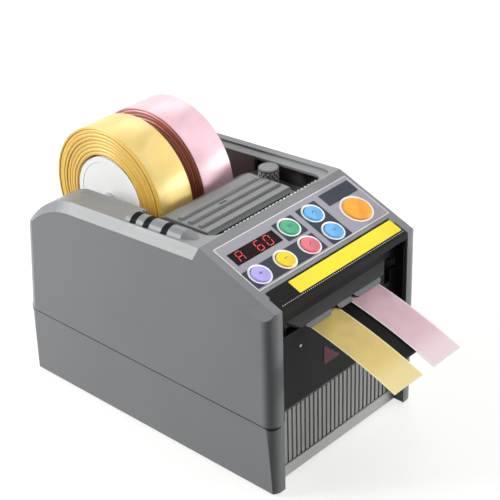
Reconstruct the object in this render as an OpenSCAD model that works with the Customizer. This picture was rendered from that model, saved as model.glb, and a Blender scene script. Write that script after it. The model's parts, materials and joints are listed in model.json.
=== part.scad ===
/* [Case] */
// Width of the case across its sides
case_w = 127; // [122:1:134]
// Length of the case from front to back
case_l = 200; // [194:1:210]
// Wall thickness of the case shells
wall = 2.6; // [2:0.1:3]
// Radius of the upright corners at the back
corner_r = 11; // [9:0.5:13]
// Radius of the upright corners at the front
front_corner_r = 7; // [5:0.5:9]
// Thickness of the case floor
floor_t = 3; // [2.4:0.1:4]
// Height of the joint line between the lower and the upper case
seam_z = 45; // [42:0.5:48]
// Inward lean of the lower case's sides at the bottom edge
base_draft = 1.8; // [0.6:0.1:2.4]
// Height of the front edge of the slanted panel
front_h = 117.5; // [115:0.5:121]
// Tilt of the slanted panel in degrees
panel_tilt = 21; // [19:0.5:22]
// Length of the slanted panel
panel_len = 55.5; // [54.5:0.5:57]
// Fall of the top edge towards the back in degrees
top_fall = 4.1; // [3:0.1:5]
// Radius of the round shoulder at the back
back_r = 49; // [44:1:52]
// Lean of the upper back wall in degrees
back_lean = 5; // [3:0.5:6]
// Ledge of the lower case behind the foot of the upper back wall
back_ledge = 1.2; // [0.8:0.1:1.6]
// Width of the bevel along the upper edges
edge_w = 4.6; // [3:0.1:5.5]
// Drop of the bevel along the upper edges
edge_drop = 5.6; // [4:0.1:7]
// Shift of the bevel's arc, by which it fades out round the back shoulder
edge_fade = 11; // [9:0.5:14]
// Width of each front cheek
cheek_w = 10; // [9:0.5:11]
// Reach of the cheeks in front of the slanted panel's front edge
cheek_out = 1.8; // [1:0.1:2.4]
// Depth of the front face behind the slanted panel's front edge
recess = 5.6; // [4.5:0.1:6.5]
// Width of the right rim of the top opening
rim_right = 16.5; // [15.5:0.5:17]
// Width of the left rim beside the rolls
rim_left = 23.5; // [22:0.5:24]
// Width of the left rim beside the feed cover
rim_ridge = 17.5; // [17:0.5:17.5]
// Width of the shallow ledge along the inner edge of each rim
ledge_w = 7; // [5:0.5:8]
// Depth of that ledge
ledge_drop = 1; // [0.6:0.1:1.2]
// Height of the wall behind the rolls
back_wall_z = 70; // [66:1:74]
// Height of the floor under the rolls
well_z = 62.5; // [60:0.5:64]

/* [Front panel] */
// Distance between the upright ribs
rib_pitch = 3.7; // [3:0.1:4.5]
// Width of one rib
rib_w = 2.3; // [1.6:0.1:2.6]
// Height of the ribs
rib_h = 0.9; // [0.5:0.1:1.2]
// Thickness of the ribbed panel behind its ribs
front_panel_t = 2.4; // [2:0.1:3]
// Height of the sill strip below the ribs
sill_h = 7.8; // [6:0.1:10]
// Width of the groove above the sill
sill_groove = 0.8; // [0.5:0.1:1.5]

/* [Feet and screws] */
// Radius of a rubber foot
foot_r = 8; // [6:0.5:9]
// Height of a rubber foot
foot_h = 2; // [1.5:0.1:3]
// Distance of the feet from the case sides
foot_inset = 17; // [15:0.5:19]
// Distance of the feet from the case ends
foot_end = 21; // [19:0.5:24]
// Radius of a case screw
screw_r = 1.6; // [1.4:0.1:1.8]
// Radius of a case screw's head
screw_head_r = 3.1; // [2.8:0.1:3.3]
// Height of a case screw's head
screw_head_h = 2.4; // [2:0.1:3]
// Depth of the counterbore for a case screw's head
screw_sink = 6; // [5:0.5:8]
// Grip of a case screw in its upper boss
screw_grip = 10; // [8:0.5:12]
// Distance of the case screws from the sides
screw_inset = 10; // [9.5:0.25:10.5]
// Distance of the front case screws from the front
screw_front = 38; // [36:1:42]
// Distance of the rear case screws from the back
screw_back = 42; // [38:1:46]
// Radius of a screw boss
boss_r = 4.6; // [4.4:0.1:5]
// Height of the lower screw bosses
boss_h = 30; // [26:1:34]

/* [Tape and reel] */
// Width of one tape
tape_w = 24.5; // [22:0.5:26]
// Thickness of a tape web
tape_t = 0.4; // [0.3:0.05:0.6]
// Distance between the two tapes
tape_space = 9.5; // [8:0.5:11]
// Shift of the tapes to the right of the middle
tape_shift = 0.3; // [0:0.1:0.8]
// Outer radius of a full roll
roll_r = 47; // [44:0.5:47.5]
// Outer radius of a roll's core
core_r = 26; // [24:0.5:28]
// Wall of a roll's core
core_t = 3; // [2:0.1:3.5]
// Number of turns in a winding
turns = 7; // [4:1:8]
// Gap between neighbouring turns
turn_gap = 0.55; // [0.45:0.05:0.8]
// Radius of the reel axle
axle_r = 4; // [3:0.1:5]
// Distance from the front of the case to the reel axle
reel_back = 153.5; // [153:0.5:156]
// Height of the reel axle
reel_z = 119.5; // [118:0.5:121]
// Distance from the left wall of the roll well to the axle bracket
bracket_left = 1.6; // [1.4:0.1:2.5]
// Distance from the right wall of the roll well to the axle bracket
bracket_right = 8.6; // [7:0.2:9]
// Thickness of an axle bracket
bracket_t = 2.5; // [2:0.1:3]
// Length of tape in front of the cut
tape_out = 65; // [55:1:80]
// Slope of the tape as it leaves the cutter in degrees
tape_slope = 10.3; // [8:0.1:12]
// Droop of the free tape, as the fall per square millimetre
tape_droop = 0.00185; // [0.0012:0.00005:0.0024]

/* [Feed unit] */
// Radius of the feed roller
feed_r = 8; // [7:0.1:8.4]
// Radius of the feed shaft
feed_shaft_r = 3; // [2.5:0.1:3.5]
// Radius of the pinch roller
pinch_r = 6; // [5.5:0.1:6.4]
// Radius of the pinch roller's shaft
pinch_shaft_r = 2; // [1.6:0.1:2.4]
// Distance from the front of the case to the feed shaft
feed_back = 68; // [67:0.5:70]
// Drop from the panel's front edge to the feed shaft
feed_drop = 20; // [19:0.5:21]
// Thickness of a side frame
frame_t = 2; // [1.6:0.1:2.4]
// Distance from the case sides to the inner faces of the side frames
frame_side = 20.5; // [20:0.25:21]
// Tooth module of the gears
gear_m = 1; // [0.9:0.05:1.05]
// Teeth on the feed gear
feed_teeth = 40; // [36:1:42]
// Teeth on the feed motor's pinion
pinion_teeth = 16; // [15:1:18]
// Width of the feed gears
gear_w = 6; // [4:0.5:7]
// Play between meshing teeth, along the pitch line
gear_play = 0.14; // [0.1:0.02:0.2]
// Radius of the feed motor
motor_r = 14; // [12:0.5:14.5]
// Length of the feed motor
motor_len = 50; // [40:1:60]
// Length of the feed bay behind the feed shaft
bay_back = 42; // [41.5:0.5:43]
// Rise of the side frames above the panel's front edge
frame_rise = 3.5; // [3:0.25:4]
// Length of the feed cover along the tape
cover_l = 50; // [48:0.5:50.5]
// Distance from the left rim to the feed cover
cover_left_gap = 9; // [8.5:0.25:9.5]
// Distance from the right rim to the feed cover
cover_right_gap = 15; // [14.5:0.25:15.5]
// Shell thickness of the feed cover
cover_t = 2.4; // [2:0.1:2.8]
// Height of the ribs on the feed cover
cover_rib_r = 2.1; // [1.6:0.1:2.4]
// Radius of the cover's hinge pin
hinge_r = 1.5; // [1.2:0.1:1.7]
// Radius of the pressure knob
knob_r = 6.2; // [5:0.1:6.4]
// Height of the pressure knob
knob_h = 10.5; // [8:0.5:12]
// Thickness of the deck beside the feed cover
deck_t = 2.5; // [2:0.1:3]

/* [Cutter] */
// Thickness of the moving blade
blade_t = 1.2; // [1:0.1:1.5]
// Thickness of the fixed blade
fixed_t = 2; // [1.6:0.1:2.2]
// Distance from the carrier's legs to the ends of the moving blade
blade_end = 1; // [0.5:0.25:2]
// Depth of the fixed blade below the outlet slot
fixed_deep = 14; // [10:0.5:16]
// Stroke of the moving blade
stroke = 7; // [6:0.25:7.5]
// Overlap of the blades at the end of the stroke
shear = 2.1; // [1.5:0.1:2.5]
// Play between the two blades
blade_play = 0.05; // [0.03:0.01:0.1]
// Thickness of the cutter's front plates
plate_t = 2.4; // [2:0.1:2.6]
// Drop from the panel's front edge to the outlet slot's upper edge
outlet_drop = 18.9; // [18:0.1:20]
// Height of the outlet slot
outlet_h = 6; // [5:0.1:6.5]
// Length of the cover's slanted top along the panel
hood_len = 12; // [11:0.25:13]
// Width of one leg of the blade carrier
leg_w = 7; // [6:0.5:8]
// Thickness of the carrier's legs
leg_t = 5; // [4:0.5:5.5]
// Teeth on the cutter pinion
rack_teeth = 14; // [13:1:16]
// Radius of the guide posts
post_r = 2.5; // [2:0.1:3]
// Radius of the cutter motor
cutter_motor_r = 10.5; // [9:0.5:11]
// Length of the cutter motor
cutter_motor_len = 34; // [28:1:40]
// Width of the outfeed tongue
tongue_w = 18; // [14:0.5:20]
// Reach of the outfeed tongue in front of the case
tongue_out = 44; // [30:1:50]
// Thickness of the outfeed tongue
tongue_t = 1.8; // [1.4:0.1:2.4]
// Reach of the visor over the outlet
visor_out = 4.7; // [4:0.1:5]
// Reach of the outlet lips in front of the visor
lip_out = 2.1; // [1.8:0.1:2.4]
// Drop of the outlet lips below the visor's edge
lip_drop = 2.1; // [1.8:0.1:2.2]
// Thickness of the outlet lips
lip_t = 0.6; // [0.5:0.05:0.7]

/* [Control panel] */
// Thickness of the panel overlay
overlay_t = 0.5; // [0.3:0.05:0.8]
// Radius of a small button
button_r = 5.6; // [5:0.1:6]
// Radius of the large button
start_r = 8.6; // [8:0.1:9.2]
// Height of a button above the panel
button_h = 1.3; // [0.8:0.1:2]
// Travel of a button
button_travel = 0.7; // [0.4:0.05:0.9]
// Room between the display window and the flange of the button beside it
display_room = 2.8; // [2:0.2:4]
// Height of the display window
display_h = 9.3; // [8.5:0.1:9.5]
// Depth of the control board below the panel
board_depth = 11; // [10.5:0.1:11.5]
// Thickness of the circuit boards
board_t = 1.6; // [1:0.1:2]

/* [Power entry] */
// Place of the mains inlet across the back
inlet_x = -25; // [-30:1:-18]
// Place of the power switch across the back
switch_x = 25; // [15:1:30]
// Height of the inlet and the switch
entry_z = 24; // [22:0.5:28]
// Width of the hole for the inlet
inlet_w = 27; // [26.5:0.5:29]
// Height of the hole for the inlet
inlet_h = 20; // [19:0.5:22]
// Width of the hole for the switch
switch_w = 13; // [12:0.5:15]
// Height of the hole for the switch
switch_tall = 19; // [18:0.5:22]
// Width of the power board
power_board_w = 80; // [76:1:84]
// Distance from the back of the case to the middle of the power board
power_back = 47; // [45:0.5:50]
// Height of the posts under the power board
power_post_h = 6; // [5:0.5:8]

/* [Fits] */
// Clearance of a pressed or glued fit
press_fit = 0.02; // [0.01:0.01:0.05]
// Radial clearance of a shaft that turns
run_fit = 0.05; // [0.02:0.01:0.08]
// Clearance of a piece that slides
slide_fit = 0.1; // [0.06:0.01:0.15]
// Clearance around soft pieces
soft_gap = 0.3; // [0.25:0.05:0.4]
// Clearance between fitted shells
part_gap = 0.3; // [0.2:0.05:0.4]

/* [Hidden] */
$fn = 72;

// Directions and crossings in the side view, whose axes are Y and Z
function along(a) = [cos(a), sin(a)];
function turn_left(d) = [-d.y, d.x];
function cross2(d, e) = d.x * e.y - d.y * e.x;
function meet(p, d, q, e) = p + d * cross2(q - p, e) / cross2(d, e);
function angle_of(d) = atan2(d.y, d.x);

// Side outline of the case
eps = 1;
half_w = case_w / 2;
front_y = -case_l / 2;
back_y = case_l / 2;
panel_edge = [front_y, front_h];
panel_dir = along(panel_tilt);
panel_in = -turn_left(panel_dir);
kink = panel_edge + panel_len * panel_dir;
top_dir = along(-top_fall);
top_in = -turn_left(top_dir);
back_foot = [back_y - back_ledge, seam_z];
back_dir = along(90 + back_lean);
back_in = turn_left(back_dir);
shoulder = meet(kink + back_r * top_in, top_dir, back_foot + back_r * back_in, back_dir);
function panel_z(y) = front_h + (y - front_y) * tan(panel_tilt);
function top_z(y) = kink.y - (y - kink.x) * tan(top_fall);

// Front recess and cheeks
cheek_x = half_w - cheek_w;
cheek_y = front_y - cheek_out;
face_y = front_y + recess;
plate_back = face_y + plate_t;
front_wall_y = face_y + rib_h + front_panel_t;

// Case screws, in two rows, and feet
screw_x = half_w - screw_inset;
screw_rows = [front_y + screw_front, back_y - screw_back];
foot_x = half_w - foot_inset;
foot_y = case_l / 2 - foot_end;
blind_room = 3;
rib_t = 4;
cheek_deep = 8;
cheek_lap = 0.5;

// Top opening
open_left = -(half_w - rim_left);
open_ridge = -(half_w - rim_ridge);
open_right = half_w - rim_right;
bay_corner = 8;
bay_front = kink.x + 1.2;
clear_top = kink.y + 9;

// Feed unit
feed_y = front_y + feed_back;
step_y = feed_y + bay_back;
feed_z = front_h - feed_drop;
tape_path_r = feed_r + soft_gap;
pinch_z = feed_z + feed_r + 2 * soft_gap + tape_t + pinch_r;
frame_in = half_w - frame_side;
frame_gap = 2 * frame_in;
frame_out = frame_in + frame_t;
frame_front = front_y + 24;
frame_back = feed_y + bay_back - 6;
frame_top = front_h + frame_rise;
spacer_r = 3;
deck_z = frame_top + deck_t;
gear_r = gear_m * feed_teeth / 2;
pinion_r = gear_m * pinion_teeth / 2;
mesh_angle = -70;
motor_y = feed_y + (gear_r + pinion_r) * cos(mesh_angle);
motor_z = feed_z + (gear_r + pinion_r) * sin(mesh_angle);
gear_x = -frame_out - 3;
bush_r = feed_shaft_r + 2;
bush_lip = 1;
motor_shaft_r = 2;
motor_bore = 9;
motor_cap = 3;

// Feed cover, with its hinge at the front
cover_left = open_ridge + cover_left_gap;
cover_right = open_right - cover_right_gap;
cover_w = cover_right - cover_left;
cover_front = feed_y - 12.2;
cover_back = cover_front + cover_l;
hinge_y = cover_front + 2.7;
hinge_z = deck_z + 0.5;
barrel_r = hinge_r + 1.7;
ear_t = 2;
hinge_ear_t = 3;
cover_gap = 0.5;
knob_x = (cover_right + open_right) / 2;
knob_y = feed_y + 22;
knob_stem_r = 2.5;
knob_stem_h = 4;
knob_room = 1.2;

// Tapes and reel
reel_y = front_y + reel_back;
yellow_x = tape_shift - tape_space / 2 - tape_w;
pink_x = tape_shift + tape_space / 2;
hub_inset = 0.2;
hub_left = yellow_x + hub_inset;
hub_right = pink_x + tape_w - hub_inset;
hub_r = core_r - core_t - run_fit;
hub_wall = 4;
hub_web_t = 5;
bracket_foot = 16;
bracket_top = 5;
axle_over = 1;
axle_left = open_left + bracket_left;
axle_right = open_right - bracket_right - bracket_t;
winding_in = core_r + 0.4;
turn_step = (roll_r - winding_in + turn_gap) / (turns + 1);
band_t = turn_step - turn_gap;

// Cutter, placed behind the front plates
moving_front = plate_back + 0.4;
moving_back = moving_front + blade_t;
fixed_front = moving_back + blade_play;
fixed_back = fixed_front + fixed_t;
outlet_top = front_h - outlet_drop;
outlet_low = outlet_top - outlet_h;
fixed_top = outlet_low + 2.7;
blade_low = fixed_top - shear + stroke;
bar_low = blade_low + 6.8;
bar_h = 8;
leg_front = fixed_back + 0.95;
leg_back = leg_front + leg_t;
leg_side = 3;
leg_out = frame_in + leg_side;
leg_in = leg_out - leg_w;
post_inset = 4.2;
post_x = cheek_x - post_inset;
post_y = (leg_front + leg_back) / 2;
bar_inset = 0.9;
bar_x = cheek_x - bar_inset;
shelf_t = 4;
shelf_inset = 0.6;
shelf_z = outlet_low - 22.6;
rack_z = shelf_z + cutter_motor_r + part_gap;
add = 0.75 * gear_m;
ded = 1 * gear_m;
rack_r = gear_m * rack_teeth / 2;
rack_pitch_x = leg_in - ded;
pinion_x = rack_pitch_x - rack_r;
leg_low = rack_z - 20;
motor_wall_t = 2;
pressure_angle = 20;
rack_low = -2;
rack_high = 4;
motor_wall_y = leg_back + 1.4;

// Visor over the outlet slot, and the upright slot beside it
visor_y = face_y - visor_out;
visor_edge = 0.8;
visor_top = outlet_top - 1.7;
visor_low = visor_top - visor_edge;
visor_tilt = 42.5;
slot_left = leg_out - 3.7;
slot_right = leg_out + 1;
slot_low = outlet_low - 7.6;
slot_high = outlet_top + 2.9;
brow = 4.5;
brow_root = 7.5;

// Route of the tape: over the feed roller and past the fixed blade
cut_web = [fixed_front + 0.35, fixed_top + soft_gap];
cut_end = [moving_front - 0.4, fixed_top + soft_gap - 0.35];
feed_c = [feed_y, feed_z];
reel_c = [reel_y, reel_z];
reel_path_r = roll_r + soft_gap;
reel_way = reel_c - feed_c;
web_angle = angle_of(reel_way) - asin((reel_path_r + tape_path_r) / norm(reel_way));
blade_way = cut_web - feed_c;
blade_angle = angle_of(blade_way) + 360 - acos(tape_path_r / norm(blade_way));
arc_steps = 6;
arc_from = web_angle + 90;
arc_sweep = blade_angle - arc_from;
web_arc = [for (i = [0:arc_steps]) feed_c + tape_path_r * along(arc_from + arc_sweep * i / arc_steps)];
web_path = concat([reel_c - reel_path_r * along(arc_from)], web_arc, [cut_web]);
end_steps = 12;
function end_point(s) = cut_end - [s, s * tan(tape_slope) + s * s * tape_droop];
end_path = [for (i = [0:end_steps]) end_point(tape_out * i / end_steps)];

// Control panel, in distances along and up the panel
button_flange = 1.8;
flange_t = 2;
flange_top = -wall - part_gap;
flange_low = flange_top - flange_t;
tact_w = 6;
tact_h = 3.4;
tact_stem_r = 1.7;
tact_play = 0.2;
inlay_gap = 0.1;
overlay_left = -half_w + 9.5;
overlay_right = half_w - 6.5;
overlay_low = 14.5;
overlay_high = 50.4;
board_low = 18;
board_high = 50;
ledge = 1;
first_inset = 9.8;
start_inset = 15.2;
start_space = 25.4;
low_row = 22.8;
high_row = 38.6;
start_at = [overlay_right - start_inset, 27.1];
first_x = overlay_left + first_inset;
last_x = start_at.x - start_space;
button_pitch = (last_x - first_x) / 3;
small_buttons = [
    [first_x, low_row], [first_x + button_pitch, low_row], [first_x + 2 * button_pitch, low_row],
    [first_x + 2 * button_pitch, high_row], [last_x, high_row], [last_x, low_row]
];
display_x = overlay_left + 4;
display_v = 34;
display_w = small_buttons[3].x - button_r - button_flange - display_room - display_x;
boss_inset = [3.5, 6.2];
board_bosses = [
    [overlay_left + boss_inset[0], 30.6], [last_x - button_pitch / 2, 30.7],
    [overlay_right - boss_inset[1], 43]
];
board_boss_r = 2.2;

// Power entry in the back wall, and the power board on its posts
entry_fit = 0.2;
entry_wall = 6;
switch_frame = 2;
rocker_axle_r = 1.2;
rocker_y = back_y - 4;
power_y = back_y - power_back;
inlet_flange_out = 1.5;
power_z = floor_t + power_post_h;
power_post_r = 3;
power_post_x = power_board_w / 2 - 6;
power_post_y = 26;

// Place of the whole part: its box is centred on the origin and stands on Z 0
reach_front = end_point(tape_out).x;
reach_back = max(reel_y + roll_r, back_y + inlet_flange_out);
frame_y = -(reach_front + reach_back) / 2;

body_grey = "#7c7e80";
dark_grey = "#55575a";
black = "#202224";
steel = "#b9bcc0";
white = "#ececea";
yellow = "#eacb72";
pink = "#f0cdd8";

module framed() {
    translate([0, frame_y, foot_h])
        children();
}

module along_x(x, len) {
    translate([x, 0, 0])
        rotate([90, 0, 90])
            linear_extrude(len)
                children();
}

module along_y(y, len) {
    translate([0, y + len, 0])
        rotate([90, 0, 0])
            linear_extrude(len)
                children();
}

module rod_x(x, len, y, z, r) {
    translate([x, y, z])
        rotate([0, 90, 0])
            cylinder(h = len, r = r);
}

module rod_y(y, len, x, z, r) {
    translate([x, y + len, z])
        rotate([90, 0, 0])
            cylinder(h = len, r = r);
}

module block(low, high) {
    translate(low)
        cube(high - low);
}

module spin_x(y, z) {
    translate([0, y, z])
        rotate([0, 90, 0])
            rotate_extrude()
                children();
}

module on_panel() {
    translate([0, front_y, front_h])
        rotate([panel_tilt, 0, 0])
            children();
}

module both_sides() {
    children();
    mirror([1, 0, 0])
        children();
}

// Plan of the case, whose front corners are tighter than its back corners
module plan(half, front, back, front_r, back_r) {
    translate([-half, front + front_r])
        square([2 * half, back - front - front_r - back_r]);
    translate([-half + front_r, front])
        square([2 * (half - front_r), -front]);
    translate([-half + back_r, -eps])
        square([2 * (half - back_r), back + eps]);
    for (x = [-1, 1]) {
        translate([x * (half - front_r), front + front_r])
            circle(front_r);
        translate([x * (half - back_r), back - back_r])
            circle(back_r);
    }
}

// A ribbon of even thickness on the upper side of a path
function path_dir(p, i) =
    let (a = p[max(i - 1, 0)], b = p[min(i + 1, len(p) - 1)])
    (b - a) / norm(b - a);
function raised(p, t, side) = [for (i = [0:len(p) - 1]) p[i] + side * t * turn_left(path_dir(p, i))];
module ribbon(p, t, side) {
    upper = raised(p, t, side);
    polygon(concat(p, [for (i = [len(p) - 1:-1:0]) upper[i]]));
}

// Involute gear outline, with a tooth at the given angle
function inv(a) = tan(a) - a * PI / 180;
function gear_outline(teeth, phase) =
    let (
        rp = gear_m * teeth / 2,
        rb = rp * cos(pressure_angle),
        rt = rp + add,
        rf = rp - ded,
        low = max(rb, rf) + 0.01,
        half = (PI * gear_m / 2 - gear_play) / (2 * rp) + inv(pressure_angle),
        radii = [rf, low, low + (rt - low) / 3, low + (rt - low) * 2 / 3, rt],
        spread = [for (r = radii) (half - inv(acos(min(1, rb / max(r, low))))) * 180 / PI]
    )
    [for (k = [0:teeth - 1]) let (c = phase + 360 * k / teeth) each concat(
        [for (i = [0:4]) radii[i] * along(c - spread[i])],
        [for (i = [4:-1:0]) radii[i] * along(c + spread[i])]
    )];

// Side outline of the case, with a true arc at the back shoulder
module outer_profile(low) {
    top_back = meet(kink, top_dir, back_foot, back_dir);
    arc_top = shoulder - back_r * top_in;
    arc_back = shoulder - back_r * back_in;
    difference() {
        polygon([
            [cheek_y - eps, low], [cheek_y - eps, panel_z(cheek_y - eps)], kink, top_back,
            meet(back_foot, back_dir, [0, low], [1, 0])
        ]);
        difference() {
            polygon([
                arc_top, arc_top - eps * top_in, top_back - eps * (top_in + back_in),
                arc_back - eps * back_in, arc_back
            ]);
            translate(shoulder)
                circle(back_r);
        }
    }
}

// Side outline of the hollow inside, with flats in place of the arc
module inner_profile(low) {
    flats = 6;
    r = back_r - wall;
    panel_from = panel_edge + wall * panel_in;
    top_from = kink + wall * top_in;
    back_from = back_foot + wall * back_in;
    polygon(concat(
        [[front_y + wall, low], meet([front_y + wall, low], [0, 1], panel_from, panel_dir)],
        [meet(panel_from, panel_dir, top_from, top_dir)],
        [for (i = [0:flats]) shoulder + r * along(90 - top_fall - i * (90 - top_fall - back_lean) / flats)],
        [meet(back_from, back_dir, [0, low], [1, 0])]
    ));
}

// Upright column with round back corners, which leans forwards with the upper back wall
corner_out = 0.3;
module leant_column(half, back, r) {
    translate([0, back_foot.x, seam_z])
        rotate([back_lean, 0, 0])
            translate([0, -back_foot.x, -corner_r])
                linear_extrude(kink.y)
                    plan(half + corner_out, front_y - kink.y, back, r, r);
}

module outer_body() {
    intersection() {
        along_x(-half_w - eps, case_w + 2 * eps)
            outer_profile(seam_z);
        translate([0, 0, seam_z])
            linear_extrude(kink.y)
                plan(half_w, cheek_y, back_y + 2 * corner_r, front_corner_r, corner_r);
        leant_column(half_w, back_foot.x + corner_out, corner_r);
    }
}

module inner_body() {
    low = seam_z - eps;
    r = corner_r - wall;
    intersection() {
        along_x(-half_w, case_w)
            inner_profile(low);
        translate([0, 0, low])
            linear_extrude(kink.y)
                plan(half_w - wall, front_y + wall / 2, back_y + 2 * corner_r, front_corner_r - wall, r);
        leant_column(half_w - wall, back_foot.x - wall / 2, r);
    }
}

// Bevel along the right-hand upper edge, seen end on
module edge_section(base) {
    over = 0.3;
    inner = half_w - edge_w * (1 + over);
    outer = half_w + edge_w * over;
    high = base + edge_drop * over;
    polygon([[inner, high], [outer, base - edge_drop * (1 + over)], [outer, high]]);
}

fade_lap = 4;
fade_lift = 0.05;
module edge_bevel() {
    on_panel()
        along_y(-5, panel_len + 5)
            edge_section(0);
    translate([0, kink.x, kink.y])
        rotate([-top_fall, 0, 0])
            along_y(-1, (shoulder - kink) * top_dir + 1 + fade_lap)
                edge_section(0);
    fade_at = shoulder + edge_fade * top_in;
    translate([0, fade_at.x, fade_at.y])
        rotate([0, 90, 0])
            rotate([0, 0, 90 + back_lean])
                rotate_extrude(angle = 90 - back_lean - top_fall)
                    mirror([1, -1, 0])
                        edge_section(back_r + edge_fade + fade_lift);
}

// Top opening: the feed bay, whose front corners are round, and the wider roll well
module opening_outline() {
    over = bay_corner + eps;
    difference() {
        translate([open_ridge, bay_front])
            square([open_right - open_ridge, step_y - bay_front]);
        for (p = [[open_ridge + bay_corner, -over], [open_right - bay_corner, 0]])
            translate([p.x, bay_front + bay_corner])
                difference() {
                    translate([p.y, -over])
                        square(over);
                    circle(bay_corner);
                }
    }
    translate([open_left, step_y - eps])
        square([open_right - open_left, case_l]);
}

// Shallow ledges along the inner edges of the rims, each with a round front end
module rim_ledges() {
    translate([0, kink.x, kink.y])
        rotate([-top_fall, 0, 0])
            translate([0, -kink.x, -ledge_drop])
                linear_extrude(ledge_drop + eps)
                    for (p = [[open_right, bay_front], [open_left, step_y]])
                        translate([p.x, p.y + ledge_w]) {
                            circle(ledge_w);
                            translate([-ledge_w, 0])
                                square([2 * ledge_w, case_l]);
                        }
}

module screw_places() {
    for (x = [-1, 1], y = screw_rows)
        translate([x * screw_x, y, 0])
            children();
}

// A block in the back wall, centred on a place of the power entry
module entry_block(x, w, h, from, to) {
    block([x - w / 2, from, entry_z - h / 2], [x + w / 2, to, entry_z + h / 2]);
}

module lower_case() {
    inner = wall + base_draft;
    color(body_grey) framed() difference() {
        union() {
            difference() {
                intersection() {
                    linear_extrude(seam_z)
                        plan(half_w, cheek_y, back_y, front_corner_r, corner_r);
                    along_y(cheek_y - eps, back_y - cheek_y + 2 * eps)
                        polygon([
                            [-half_w + base_draft, 0], [half_w - base_draft, 0],
                            [half_w - part_gap, seam_z], [-half_w + part_gap, seam_z]
                        ]);
                }
                translate([0, 0, floor_t])
                    linear_extrude(seam_z)
                        plan(half_w - inner, front_y + wall, back_y - wall,
                             front_corner_r - wall, corner_r - wall);
            }
            block([-cheek_x - wall, front_y + wall / 2, floor_t / 2],
                  [cheek_x + wall, front_wall_y + wall, seam_z - 2 * part_gap]);
            screw_places()
                translate([0, 0, floor_t / 2])
                    cylinder(h = boss_h - floor_t / 2, r = boss_r);
            for (x = [-1, 1], y = [-1, 1])
                translate([x * power_post_x, power_y + y * power_post_y, floor_t / 2])
                    cylinder(h = power_z - floor_t / 2, r = power_post_r);
        }
        block([-cheek_x, cheek_y - eps, -eps], [cheek_x, front_wall_y, seam_z + eps]);
        screw_places() {
            translate([0, 0, -eps])
                cylinder(h = boss_h + 2 * eps, r = screw_r + slide_fit);
            translate([0, 0, -eps])
                cylinder(h = screw_sink + eps, r = screw_head_r + slide_fit);
        }
        entry_block(inlet_x, inlet_w, inlet_h, back_y - entry_wall, back_y + eps);
        entry_block(switch_x, switch_w, switch_tall, back_y - entry_wall, back_y + eps);
    }
}

module ridge() {
    ridge_r = 6;
    ridge_x = open_ridge - ridge_r;
    sink = 2.6;
    nose_l = 9;
    nose_r = 2.4;
    len = step_y - bay_front - bay_corner - 6;
    translate([ridge_x, step_y, top_z(step_y) - sink])
        rotate([90 - top_fall, 0, 0]) {
            cylinder(h = len, r = ridge_r);
            translate([0, 0, len])
                cylinder(h = nose_l, r1 = ridge_r, r2 = nose_r);
        }
}

module ridge_slots() {
    half = 1.4;
    long = 12.4;
    deep = 0.8;
    slot_backs = [6, 16, 30];
    for (back = slot_backs) {
        y = step_y - back;
        block([open_ridge - long, y - half, top_z(y) - deep], [open_ridge + eps, y + half, clear_top]);
    }
}

module button_holes(depth, grow) {
    for (p = small_buttons)
        translate([p.x, p.y, -depth])
            cylinder(h = depth + eps, r = button_r + grow);
    translate([start_at.x, start_at.y, -depth])
        cylinder(h = depth + eps, r = start_r + grow);
}

// Front recess between the cheeks, with room for the cutter cover's slanted top,
// which is notched at its upper corners
notch_w = 1.2;
notch_l = 4.1;
module front_recess() {
    deep = face_y + cheek_deep + eps;
    shelf = front_h - 2;
    hood_end = panel_edge + (hood_len - notch_l + part_gap) * panel_dir;
    along_x(-cheek_x, 2 * cheek_x)
        polygon([
            [cheek_y - eps, seam_z - eps], [deep, seam_z - eps], [deep, shelf],
            meet([0, shelf], [1, 0], hood_end, panel_in), hood_end - eps * panel_in,
            [cheek_y - eps, front_h + eps]
        ]);
    on_panel()
        block([-cheek_x + notch_w, 0, -recess], [cheek_x - notch_w, hood_len + part_gap, eps]);
}

// Walls and ribs that stand inside the upper case
module inner_walls() {
    from = step_y - 2;
    low = well_z - wall;
    block([open_left - wall, from, low], [open_left, back_y, clear_top]);
    block([open_right, from, low], [open_right + wall, back_y, clear_top]);
    block([open_left - wall / 2, from, low], [open_right + wall / 2, back_y, well_z]);
    both_sides() {
        block([cheek_x - cheek_lap, front_y, seam_z - 2 * eps],
              [cheek_x + wall, face_y + cheek_deep, clear_top]);
        for (y = screw_rows)
            block([screw_x, y - rib_t / 2, seam_z + eps], [half_w, y + rib_t / 2, low - wall]);
    }
}

module upper_case() {
    color(body_grey) framed() difference() {
        union() {
            difference() {
                outer_body();
                difference() {
                    inner_body();
                    inner_walls();
                }
                both_sides()
                    edge_bevel();
                rim_ledges();
                translate([0, 0, back_wall_z])
                    linear_extrude(kink.y)
                        opening_outline();
            }
            screw_places()
                translate([0, 0, boss_h + slide_fit])
                    cylinder(h = well_z - wall / 2 - boss_h - slide_fit, r = boss_r);
            ridge();
            on_panel()
                for (p = board_bosses)
                    translate([p.x, p.y, -board_depth])
                        cylinder(h = board_depth - wall / 2, r = board_boss_r);
        }
        ridge_slots();
        screw_places()
            translate([0, 0, boss_h - eps])
                cylinder(h = screw_grip + blind_room + eps, r = screw_r + run_fit);
        on_panel() {
            block([overlay_left, overlay_low, -overlay_t], [overlay_right, overlay_high, eps]);
            button_holes(wall + eps, slide_fit);
            block([display_x + ledge, display_v + ledge, -wall - eps],
                  [display_x + display_w - ledge, display_v + display_h - ledge, eps]);
        }
        front_recess();
    }
}

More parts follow.
